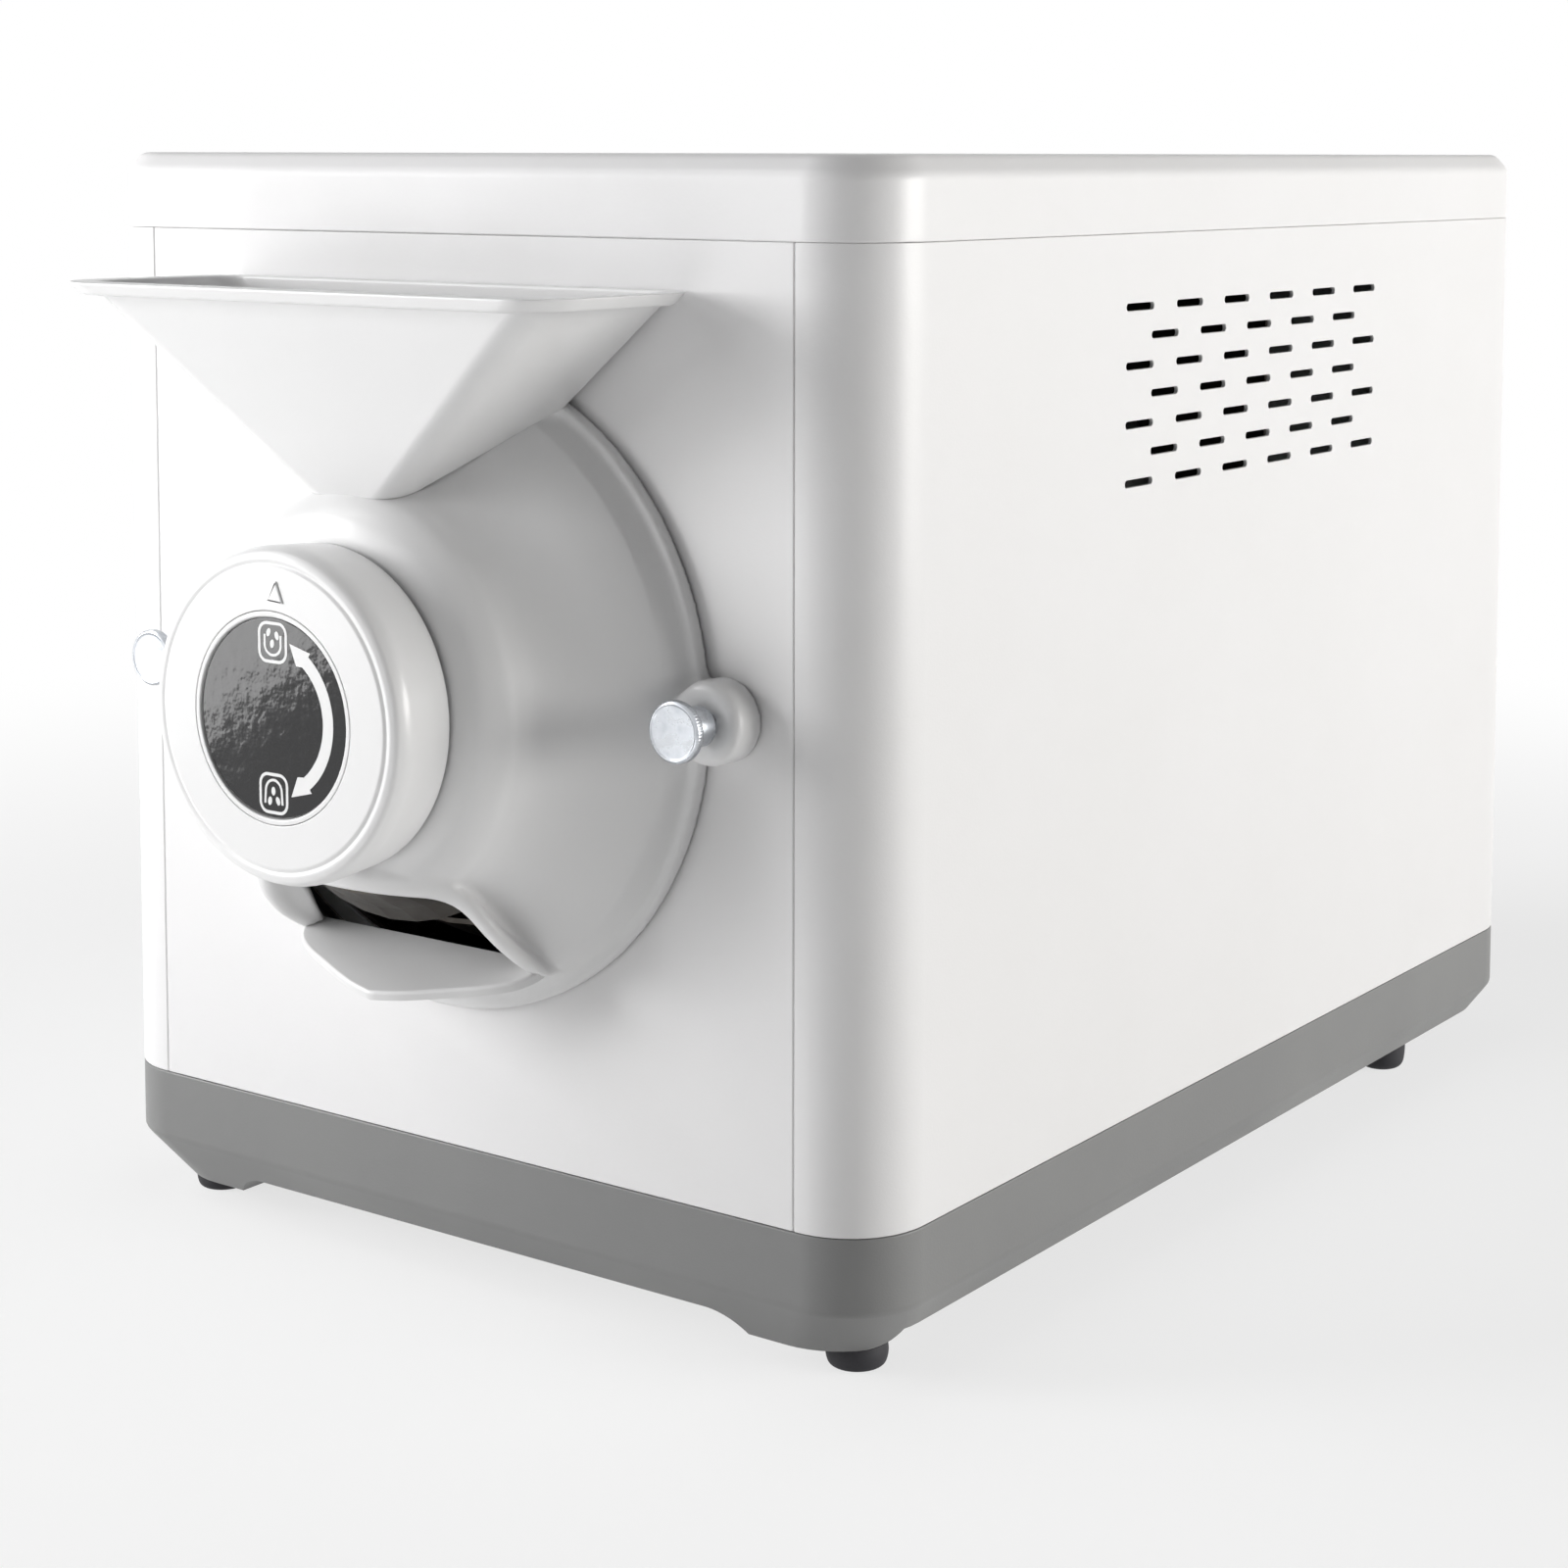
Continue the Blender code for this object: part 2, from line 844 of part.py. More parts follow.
def make_shells():
    height = shell_top - shell_bottom
    middle = (shell_top + shell_bottom) / 2
    for side, name in ((1, "side_shell_right"), (-1, "side_shell_left")):
        outline = [(side * x, y) for x, y in shell_outline()]
        if side < 0:
            outline.reverse()
        shell = plate(name, [outline], height, "shell_white", (0, cabinet_middle[1], middle))
        slots = plate(
            f"vent_cutter_{name}",
            vent_outlines(),
            2 * overrun,
            "shell_white",
            (side * body_width / 2, 0, 0),
            facing_side,
        )
        cut(shell, slots)
        for screw, (x, z) in screw_places().items():
            if x * side > 0:
                hole = cylinder(
                    f"tab_hole_{screw}",
                    panel_screw_radius + fit,
                    2 * overrun,
                    "shell_white",
                    (x, rear_y - 2 * sheet, z),
                    facing_front,
                    12,
                )
                cut(shell, hole)


def make_front_panel():
    width = 2 * (return_x - seam)
    middle = (shell_top + shell_bottom) / 2
    outlines = [rectangle(width, shell_height), circle((0, axis_height - middle), opening_radius, big_steps)]
    for side in (1, -1):
        outlines.append(circle((side * lug_offset, axis_height - middle), lug_hole_radius, 12))
    plate(
        "front_panel",
        outlines,
        sheet,
        "shell_white",
        (0, front_y + sheet / 2, middle),
        facing_front,
    )


def make_rear_panel():
    """Seen from the front, so local X is the cabinet's X."""
    width = 2 * (return_x - seam)
    middle = (shell_top + shell_bottom) / 2
    control = control_height - middle
    dial = axis_height + dial_offset_z - middle
    outlines = [
        rectangle(width, shell_height),
        rectangle(inlet_width + 2 * fit, inlet_height + 2 * fit, (inlet_offset_x, control)),
        rectangle(switch_width + 2 * fit, switch_height + 2 * fit, (switch_offset_x, control)),
        circle((dial_offset_x, dial), thermostat_bush_radius + fit),
    ]
    for x, z in screw_places().values():
        outlines.append(circle((x, z - middle), panel_screw_radius + fit, 12))
    fan_z = axis_height + fan_offset_z - middle
    for row in range(rear_vent_rows):
        for column in range(rear_vent_slots):
            place = (
                (column - (rear_vent_slots - 1) / 2) * (slot_length + slot_width) - fan_offset_x,
                fan_z + (row - (rear_vent_rows - 1) / 2) * slot_row_pitch,
            )
            outlines.append(slot_outline(place, slot_length, slot_width))
    plate(
        "rear_panel",
        outlines,
        sheet,
        "shell_white",
        (0, rear_y - sheet / 2, middle),
        facing_front,
    )
    head = panel_screw_head_height
    profile = [
        (0, head),
        (panel_screw_head_radius / 2, head),
        (panel_screw_head_radius, head / 3),
        (panel_screw_head_radius, 0),
        (panel_screw_radius, 0),
        (panel_screw_radius, -panel_screw_length),
        (0, -panel_screw_length),
    ]
    for name, (x, z) in screw_places().items():
        turned(name, profile, "zinc_steel", (x, rear_y + fit, z), (-pi / 2, 0, 0), 14)


def make_lid():
    rings = (
        at_height(body_outline(0), lid_bottom),
        at_height(body_outline(0), lid_bottom + lid_band),
        at_height(body_outline(lid_chamfer_in), lid_top),
    )
    lid = loft("top_lid", rings, "shell_white", cabinet_middle)
    low = lid_bottom - overrun
    inside = (
        at_height(body_outline(lid_wall), low),
        at_height(body_outline(lid_wall), lid_bottom + lid_band - lid_wall / 2),
        at_height(body_outline(lid_wall + lid_chamfer_in), lid_top - lid_wall),
    )
    cut(lid, loft("lid_hollow", inside, "shell_white", cabinet_middle))


# Roasting chamber

bulkhead_front = body_depth - rear_bay_depth
bulkhead_back = bulkhead_front + bulkhead_sheet
drum_length = bulkhead_front - drum_end_gap
drum_back = drum_length - nose_forward
shaft_front = drum_back + fit
coupling_front = shaft_front + shaft_length - coupling_length / 2 + coupling_gap


def around_axis(radius, angle_from_down, side):
    """A place about the drum's axis, at an angle from straight down: (x, z)."""
    x = side * radius * math.sin(angle_from_down)
    return x, axis_height - radius * math.cos(angle_from_down)


def make_drum():
    """The drum: open nose, cone, wall and closed back, all of one sheet."""
    inner_nose = nose_mouth_radius
    inner = drum_radius - drum_wall
    profile = [
        (0, -drum_back),
        (drum_radius, -drum_back),
        (drum_radius, nose_forward - nose_length),
        (nose_radius, nose_forward),
        (inner_nose, nose_forward),
        (inner, nose_forward - nose_length),
        (inner, drum_wall - drum_back),
        (0, drum_wall - drum_back),
    ]
    turned("drum_shell", profile, "drum_steel")


def make_vanes():
    """Spiral vanes: a strip whose angle grows with its depth, thickened by Solidify."""
    steps = 14
    outer = drum_radius - drum_wall - fit - vane_sheet / 2
    start = nose_forward - nose_length - vane_end_gap
    end = drum_wall - drum_back + vane_end_gap
    for number in range(vane_count):
        phase = 2 * pi * number / vane_count
        mesh = bpy.data.meshes.new(f"drum_vane_{number + 1}")
        work = bmesh.new()
        bmesh.ops.create_grid(work, x_segments=1, y_segments=steps, size=0.5)
        for vert in work.verts:
            share = vert.co.y + 0.5
            radius = outer - vane_height * (0.5 - vert.co.x)
            angle = phase + vane_turn * share
            height = start + (end - start) * share
            vert.co = (radius * math.cos(angle), radius * math.sin(angle), height)
        work.to_mesh(mesh)
        work.free()
        vane = add_object(mesh.name, mesh, "drum_steel", on_axis, facing_front)
        solid = vane.modifiers.new("sheet", "SOLIDIFY")
        solid.thickness = vane_sheet
        solid.offset = 0


def make_shaft():
    flange = shaft_flange_thickness
    profile = [
        (0, -shaft_front),
        (shaft_flange_radius, -shaft_front),
        (shaft_flange_radius, -shaft_front - flange),
        (shaft_radius, -shaft_front - flange),
        (shaft_radius, -shaft_front - shaft_length),
        (0, -shaft_front - shaft_length),
    ]
    turned("drum_shaft", profile, "zinc_steel", steps=medium_steps)


def make_shield():
    front = -sheet - fit
    back = fit - bulkhead_front
    inner = shield_radius - shield_sheet
    profile = [(shield_radius, front), (shield_radius, back), (inner, back), (inner, front)]
    turned("heat_shield", profile, "aluminium")


def make_bulkhead():
    """The upright plate behind the drum, with its folded foot on the chassis plate."""
    bottom = chassis_top + fit
    top = axis_height + bulkhead_rise
    middle = (top + bottom) / 2
    outlines = [
        rectangle(2 * bulkhead_half_width, top - bottom),
        circle((0, axis_height - middle), bearing_radius + fit),
    ]
    for side in (1, -1):
        for angle in (heater_low_angle, heater_high_angle):
            x, z = around_axis(heater_circle_radius, angle, side)
            outlines.append(circle((x, z - middle), heater_rod_radius + fit, 16))
    bulkhead = plate(
        "bulkhead",
        outlines,
        bulkhead_sheet,
        "drum_steel",
        (0, front_y + bulkhead_front + bulkhead_sheet / 2, middle),
        facing_front,
    )
    foot = box(
        "bulkhead_fold",
        (-bulkhead_half_width, front_y + bulkhead_front, bottom),
        (bulkhead_half_width, front_y + bulkhead_front + bulkhead_foot, bottom + bulkhead_sheet),
        "drum_steel",
    )
    join(bulkhead, foot)


def make_bearing():
    bore = shaft_radius + fit
    face = -bulkhead_back - fit
    profile = [
        (bearing_radius, face + bulkhead_sheet + 2 * fit),
        (bearing_radius, face),
        (bearing_flange_radius, face),
        (bearing_flange_radius, face - bearing_flange_thickness),
        (bearing_radius, face - bearing_flange_thickness),
        (bearing_radius, face - bearing_length),
        (bore, face - bearing_length),
        (bore, face + bulkhead_sheet + 2 * fit),
    ]
    turned("rear_bearing", profile, "bearing_brass", steps=medium_steps)


def make_heaters():
    """Two tubular heaters, each bent to a U that follows the chamber wall."""
    back = bulkhead_back + heater_tail
    for side, name in ((1, "heater_right"), (-1, "heater_left")):
        low = around_axis(heater_circle_radius, heater_low_angle, side)
        high = around_axis(heater_circle_radius, heater_high_angle, side)
        path = [(low[0], front_y + back, low[1])]
        bend = 8
        for i in range(bend + 1):
            share = i / bend
            angle = heater_low_angle + (heater_high_angle - heater_low_angle) * (1 - math.cos(pi * share)) / 2
            x, z = around_axis(heater_circle_radius, angle, side)
            reach = heater_circle_radius * (heater_high_angle - heater_low_angle) / 2
            depth = heater_bend_depth + reach * (1 - math.sin(pi * share))
            path.append((x, front_y + depth, z))
        path.append((high[0], front_y + back, high[1]))
        tube(name, path, heater_rod_radius, "drum_steel")


def make_sensors():
    """A control sensor and an overheat cut-out, bolted to the back of the bulkhead."""
    profile = [
        (0, 0),
        (sensor_flange_radius, 0),
        (sensor_flange_radius, -sensor_flange_thickness),
        (sensor_radius, -sensor_flange_thickness),
        (sensor_radius, -sensor_height),
        (0, -sensor_height),
    ]
    y = front_y + bulkhead_back + fit
    z = axis_height + sensor_offset_z
    turned("thermostat_sensor", profile, "zinc_steel", (-sensor_offset_x, y, z), steps=small_steps)
    turned("thermal_cutout", profile, "zinc_steel", (sensor_offset_x, y, z), steps=small_steps)


def make_rollers():
    """The crescent bracket behind the front panel, its two fixed pins, and the rollers."""
    ring = shield_radius - shield_sheet - fit
    start = -pi / 2 - cradle_half_angle
    end = -pi / 2 + cradle_half_angle
    outer = arc((0, 0), ring, start, end, 20)
    inner = arc((0, 0), ring - cradle_band, start, end, 20)
    bracket = plate(
        "roller_bracket",
        [outer + inner[::-1]],
        cradle_sheet,
        "drum_steel",
        (0, front_y + sheet + fit + cradle_sheet / 2, axis_height),
        facing_front,
    )
    reach = drum_radius + fit + roller_radius
    pin_front = sheet + fit + cradle_sheet / 2
    pin_back = roller_depth + roller_width + fit
    bore = roller_pin_radius + fit
    profile = [
        (roller_radius, -roller_depth),
        (roller_radius, -roller_depth - roller_width),
        (bore, -roller_depth - roller_width),
        (bore, -roller_depth),
    ]
    for side, name in ((-1, "drum_roller_left"), (1, "drum_roller_right")):
        x, z = around_axis(reach, roller_angle, side)
        pin = cylinder(
            f"pin_{name}",
            roller_pin_radius,
            pin_back - pin_front,
            "drum_steel",
            (x, front_y + (pin_front + pin_back) / 2, z),
            facing_front,
            16,
        )
        join(bracket, pin)
        turned(name, profile, "zinc_steel", (x, front_y, z), steps=small_steps)


# Drive

coupling_back = coupling_front + coupling_length
motor_shaft_front = shaft_front + shaft_length + coupling_gap
motor_shaft_back = motor_shaft_front + motor_shaft_length
boss_front = coupling_back + coupling_gap
gearbox_front = boss_front + gearbox_boss_length
gearbox_back = gearbox_front + gearbox_length
motor_front = gearbox_back + fit


def make_drive():
    bore = shaft_radius + fit
    profile = [
        (coupling_radius, -coupling_front),
        (coupling_radius, -coupling_back),
        (bore, -coupling_back),
        (bore, -coupling_front),
    ]
    turned("shaft_coupling", profile, "aluminium", steps=medium_steps)
    profile = [
        (0, -motor_shaft_front),
        (shaft_radius, -motor_shaft_front),
        (shaft_radius, -motor_shaft_back),
        (0, -motor_shaft_back),
    ]
    turned("motor_shaft", profile, "zinc_steel", steps=medium_steps)
    profile = [
        (bore, -boss_front),
        (gearbox_boss_radius, -boss_front),
        (gearbox_boss_radius, -gearbox_front),
        (gearbox_radius, -gearbox_front),
        (gearbox_radius, -gearbox_back),
        (0, -gearbox_back),
        (0, -motor_shaft_back - fit),
        (bore, -motor_shaft_back - fit),
    ]
    profile = profile[5:6] + profile[4::-1] + profile[:5:-1]
    turned("gearbox", profile, "zinc_steel", steps=medium_steps)
    motor_back = motor_front + motor_length
    tail = motor_back + motor_tail_length
    profile = [
        (0, -motor_front),
        (motor_radius, -motor_front),
        (motor_radius, -motor_back),
        (motor_tail_radius, -motor_back),
        (motor_tail_radius, -tail),
        (0, -tail),
    ]
    turned("motor", profile, "aluminium", steps=medium_steps)
    bottom = chassis_top + fit
    top = axis_height + gearbox_radius
    middle = (top + bottom) / 2
    back = gearbox_front - fit
    bracket = plate(
        "motor_bracket",
        [
            rectangle(bracket_width, top - bottom),
            circle((0, axis_height - middle), gearbox_boss_radius + fit, 24),
        ],
        bracket_sheet,
        "drum_steel",
        (0, front_y + back - bracket_sheet / 2, middle),
        facing_front,
    )
    foot = box(
        "bracket_fold",
        (-bracket_width / 2, front_y + back - bracket_sheet, bottom),
        (bracket_width / 2, front_y + back + bracket_foot, bottom + bracket_sheet),
        "drum_steel",
    )
    join(bracket, foot)


# Cooling fan, rear controls and electronics

fan_back = body_depth - sheet - fit
fan_centre = (-fan_offset_x, front_y + fan_back - fan_depth / 2, axis_height + fan_offset_z)


def make_fan():
    frame = plate(
        "fan_frame",
        [rectangle(fan_size, fan_size), circle((0, 0), fan_bore_radius, medium_steps)],
        fan_depth,
        "black_plastic",
        fan_centre,
        facing_front,
    )
    back = front_y + fan_back
    hub = cylinder(
        "fan_spider_hub",
        fan_hub_radius,
        fan_strut_depth,
        "black_plastic",
        (fan_centre[0], back - fan_strut_depth / 2, fan_centre[2]),
        facing_front,
    )
    struts = []
    for number in range(3):
        strut = box(
            f"fan_strut_{number}",
            (-fan_strut_width / 2, -fan_strut_depth / 2, 0),
            (fan_strut_width / 2, fan_strut_depth / 2, fan_bore_radius + fan_strut_width / 2),
            "black_plastic",
        )
        angle = 2 * pi * number / 3
        reach = strut.location.z
        strut.rotation_euler = (0, angle, 0)
        strut.location = (
            fan_centre[0] + reach * math.sin(angle),
            back - fan_strut_depth / 2,
            fan_centre[2] + reach * math.cos(angle),
        )
        struts.append(strut)
    join(hub, *struts)
    join(frame, hub)
    rotor_front = -fan_depth / 2 + fan_strut_depth / 2
    rotor_back = fan_depth / 2 - fan_strut_depth - fit
    profile = [
        (0, -rotor_front),
        (fan_hub_radius, -rotor_front),
        (fan_hub_radius, -rotor_back),
        (0, -rotor_back),
    ]
    rotor = turned("fan_rotor", profile, "black_plastic", fan_centre, steps=medium_steps)
    middle = -(rotor_front + rotor_back) / 2
    low = fan_hub_radius - fan_blade_sheet
    high = fan_bore_radius - fan_tip_gap
    for number in range(fan_blade_count):
        blade = box(
            f"fan_blade_{number}",
            (-fan_blade_depth / 2, -fan_blade_sheet / 2, low),
            (fan_blade_depth / 2, fan_blade_sheet / 2, high),
            "black_plastic",
        )
        angle = 2 * pi * number / fan_blade_count
        turn = Matrix.Rotation(angle, 4, "Y") @ Matrix.Translation((0, -middle, (low + high) / 2))
        spin = Matrix.Rotation(fan_blade_pitch + pi / 2, 4, "Z")
        blade.matrix_world = Matrix.Translation(fan_centre) @ turn @ spin
        join(rotor, blade)


def make_inlet():
    """Appliance inlet: flange outside the panel, body inside, recess with three pins."""
    x = inlet_offset_x
    z = control_height
    outside = rear_y + fit
    inlet = box(
        "power_inlet",
        (x - inlet_width / 2, outside - inlet_depth, z - inlet_height / 2),
        (x + inlet_width / 2, outside + inlet_flange_thickness / 2, z + inlet_height / 2),
        "black_plastic",
    )
    flange = box(
        "inlet_flange",
        (x - inlet_flange_width / 2, outside, z - inlet_flange_height / 2),
        (x + inlet_flange_width / 2, outside + inlet_flange_thickness, z + inlet_flange_height / 2),
        "black_plastic",
    )
    mouth = outside + inlet_flange_thickness
    recess = box(
        "inlet_recess",
        (x - inlet_width / 2 + inlet_wall, mouth - inlet_recess_depth, z - inlet_height / 2 + inlet_wall),
        (x + inlet_width / 2 - inlet_wall, mouth + overrun, z + inlet_height / 2 - inlet_wall),
        "black_plastic",
    )
    join(inlet, flange)
    cut(inlet, recess)
    floor = mouth - inlet_recess_depth
    places = ((-inlet_pin_spacing, -1), (0, 1), (inlet_pin_spacing, -1))
    for number, (along, level) in enumerate(places):
        pin_z = z + level * inlet_pin_thickness
        pin = box(
            f"inlet_pin_{number}",
            (x + along - inlet_pin_thickness / 2, floor - inlet_wall / 2, pin_z - inlet_pin_width / 2),
            (x + along + inlet_pin_thickness / 2, floor + inlet_pin_length, pin_z + inlet_pin_width / 2),
            "black_plastic",
        )
        join(inlet, pin)


def make_switch():
    """Rocker switch: a housing open to the rear, and a rocker on its middle axis."""
    x = switch_offset_x
    z = control_height
    outside = rear_y + fit
    mouth = outside + switch_bezel_thickness
    housing = box(
        "switch_housing",
        (x - switch_width / 2, outside - switch_depth, z - switch_height / 2),
        (x + switch_width / 2, outside + switch_bezel_thickness / 2, z + switch_height / 2),
        "black_plastic",
    )
    bezel = box(
        "switch_bezel",
        (x - switch_bezel_width / 2, outside, z - switch_bezel_height / 2),
        (x + switch_bezel_width / 2, mouth, z + switch_bezel_height / 2),
        "black_plastic",
    )
    half_w = switch_width / 2 - switch_wall
    half_h = switch_height / 2 - switch_wall
    hollow = box(
        "switch_hollow",
        (x - half_w, outside - switch_depth + switch_wall, z - half_h),
        (x + half_w, mouth + overrun, z + half_h),
        "black_plastic",
    )
    join(housing, bezel)
    cut(housing, hollow)
    rocker = box(
        "switch_rocker",
        (-half_w + rocker_gap, -rocker_thickness, -half_h + rocker_gap),
        (half_w - rocker_gap, 0, half_h - rocker_gap),
        "black_plastic",
    )
    face = rocker.location.copy()
    rocker.data.transform(Matrix.Translation(face))
    rocker.location = (x, mouth, z)
    rocker.rotation_euler = (0, 0, rocker_tilt)


def make_dial():
    """Temperature dial outside the rear panel, with its control body behind it."""
    x = dial_offset_x
    z = axis_height + dial_offset_z
    inside = rear_y - sheet - fit
    control = box(
        "temperature_control",
        (x - thermostat_width / 2, inside - thermostat_depth, z - thermostat_width / 2),
        (x + thermostat_width / 2, inside, z + thermostat_width / 2),
        "black_plastic",
    )
    bush_back = rear_y - fit
    bush = cylinder(
        "control_bush",
        thermostat_bush_radius,
        bush_back - inside + thermostat_bush_length,
        "black_plastic",
        (x, (bush_back + inside - thermostat_bush_length) / 2, z),
        facing_front,
    )
    join(control, bush)
    deep = thermostat_depth / 2
    hole = cylinder(
        "control_bore",
        dial_shaft_radius + fit,
        deep + overrun,
        "black_plastic",
        (x, rear_y + overrun - (deep + overrun) / 2, z),
        facing_front,
    )
    cut(control, hole)
    shaft = deep - 2 * fit
    skirt = dial_skirt_height
    profile = [
        (0, dial_height),
        (dial_top_radius, dial_height),
        (dial_top_radius, skirt),
        (dial_radius, skirt / 2),
        (dial_radius, 0),
        (dial_shaft_radius, 0),
        (dial_shaft_radius, -shaft),
        (0, -shaft),
    ]
    dial = turned("temperature_dial", profile, "black_plastic", (x, rear_y + fit, z), (-pi / 2, 0, 0), medium_steps)
    mark = box(
        "dial_mark",
        (x - dial_mark_width / 2, rear_y + fit + dial_height - dial_mark_depth, z),
        (x + dial_mark_width / 2, rear_y + fit + dial_height + overrun, z + dial_radius),
        "black_plastic",
    )
    cut(dial, mark)


def make_electronics():
    """Control board on a moulded carrier, and a terminal block, on the chassis plate."""
    x = -board_offset_x
    y = rear_y - board_from_rear
    floor = chassis_top + fit
    half_l = board_length / 2
    half_w = board_width / 2
    carrier = box(
        "board_carrier",
        (x - half_w, y - half_l, floor),
        (x + half_w, y + half_l, floor + carrier_thickness),
        "black_plastic",
    )
    post_top = floor + carrier_thickness + board_post_height
    for sx in (1, -1):
        for sy in (1, -1):
            post = cylinder(
                f"board_post_{sx + 1}_{sy + 1}",
                board_post_radius,
                board_post_height + part_sink,
                "black_plastic",
                (
                    x + sx * (half_w - board_post_inset),
                    y + sy * (half_l - board_post_inset),
                    post_top - (board_post_height + part_sink) / 2,
                ),
                steps=12,
            )
            join(carrier, post)
    deck = post_top + fit
    board = box(
        "control_board",
        (x - half_w, y - half_l, deck),
        (x + half_w, y + half_l, deck + board_thickness),
        "board_green",
    )
    surface = deck + board_thickness - part_sink
    relay = box(
        "board_relay",
        (x - relay_size[0], y - relay_size[1], surface),
        (x, y, surface + relay_size[2]),
        "board_green",
    )
    capacitor = cylinder(
        "board_capacitor",
        capacitor_radius,
        capacitor_height,
        "board_green",
        (x + half_w / 2, y + half_l / 2, surface + capacitor_height / 2),
        steps=16,
    )
    join(board, relay, capacitor)
    tx = terminal_offset_x
    ty = rear_y - terminal_from_rear
    block = box(
        "terminal_block",
        (tx - terminal_length / 2, ty - terminal_width / 2, floor),
        (tx + terminal_length / 2, ty + terminal_width / 2, floor + terminal_height),
        "black_plastic",
    )
    for number in range(terminal_count):
        along = (number + 1 / 2) / terminal_count - 1 / 2
        tower = cylinder(
            f"terminal_tower_{number}",
            terminal_tower_radius,
            terminal_tower_height + part_sink,
            "black_plastic",
            (
                tx + along * terminal_length,
                ty,
                floor + terminal_height + (terminal_tower_height - part_sink) / 2,
            ),
            steps=12,
        )
        join(block, tower)


# Front cover

bell_line = [
    (
        neck_radius + (rim_radius - neck_radius) * across,
        rim_height + (neck_end - rim_height) * along,
    )
    for across, along in bell_shares
]
shoulder_line = [
    (neck_radius - (neck_radius - shoulder_radius) / 3, neck_end + (cover_face - neck_end) * 2 / 3),
    (shoulder_radius, cover_face),
]
outer_line = [(rim_radius, 0)] + bell_line + shoulder_line
inner_line = offset_line(outer_line, cover_wall)


def radius_at(line, forward):
    """Radius at which a line of the cover crosses a plane parallel to the front panel."""
    for (near, start), (far, end) in zip(line, line[1:]):
        if start <= forward <= end:
            return near + (far - near) * (forward - start) / (end - start)


def solid_of_line(name, line, slot="gloss_white"):
    """A solid of revolution filled from the axis out to a line of the cover."""
    return turned(name, [(0, line[0][1])] + list(line) + [(0, line[-1][1])], slot)


def hood_ring(share, wall, side_wall):
    """Front view of the hood at a share of its depth: open below, rounded shoulders."""
    top = hood_wall - mouth_top - wall
    bottom = -hood_bottom
    half_top = hood_back_top + (hood_front_top - hood_back_top) * share - side_wall
    half_bottom = hood_back_bottom + (hood_front_bottom - hood_back_bottom) * share - side_wall
    corner = hood_corner * (1 + share) / 2 - wall / 2
    widen = (half_bottom - half_top) / (top - bottom)
    half = half_top + widen * corner
    shoulder = arc((half - corner, top - corner), corner, 0, pi / 2, 4)
    right = [(half_bottom, bottom)] + shoulder
    outline = right + [(-x, z) for x, z in reversed(right)]
    forward = hood_back + (hood_front - hood_back) * share
    return [(x, -forward, z) for x, z in outline]


def hood_solid(name, wall, side_wall):
    """The hood's outside, or its inside when it is given walls to leave."""
    reach = 1 / 2 if wall else 0
    rings = [hood_ring(share, wall, side_wall) for share in (-reach / 8, 0, 1, 1 + reach)]
    if not wall:
        rings = rings[1:3]
    return loft(name, rings, "gloss_white", on_axis)


def on_tongue_slope(obj):
    """Tilts a solid that lies flat and forward of the tongue's side corners."""
    tilt = Matrix.Rotation(tongue_slope, 4, "X")
    pivot = Matrix.Translation((0, tongue_edge_forward, -tongue_thickness / 2))
    obj.data.transform(tilt @ pivot @ Matrix.Translation(obj.location))
    obj.location = (0, front_y - tongue_edge_forward, axis_height - tongue_edge_drop)
    return obj


def tongue_solid(name, grow):
    """The tongue as a sloping slab, wider and thicker by its clearance when it cuts."""
    half = tongue_half_width + grow
    edge = tongue_edge_forward
    reach = tongue_reach - edge + grow
    bow = [(half * across, -edge - reach * along) for across, along in tongue_shares]
    back = grow - tongue_back
    outline = [(half, back)] + bow + [(-x, y) for x, y in reversed(bow[:-1])] + [(-half, back)]
    slab = plate(name, [outline[::-1]], tongue_thickness + 2 * grow, "gloss_white")
    return on_tongue_slope(slab)


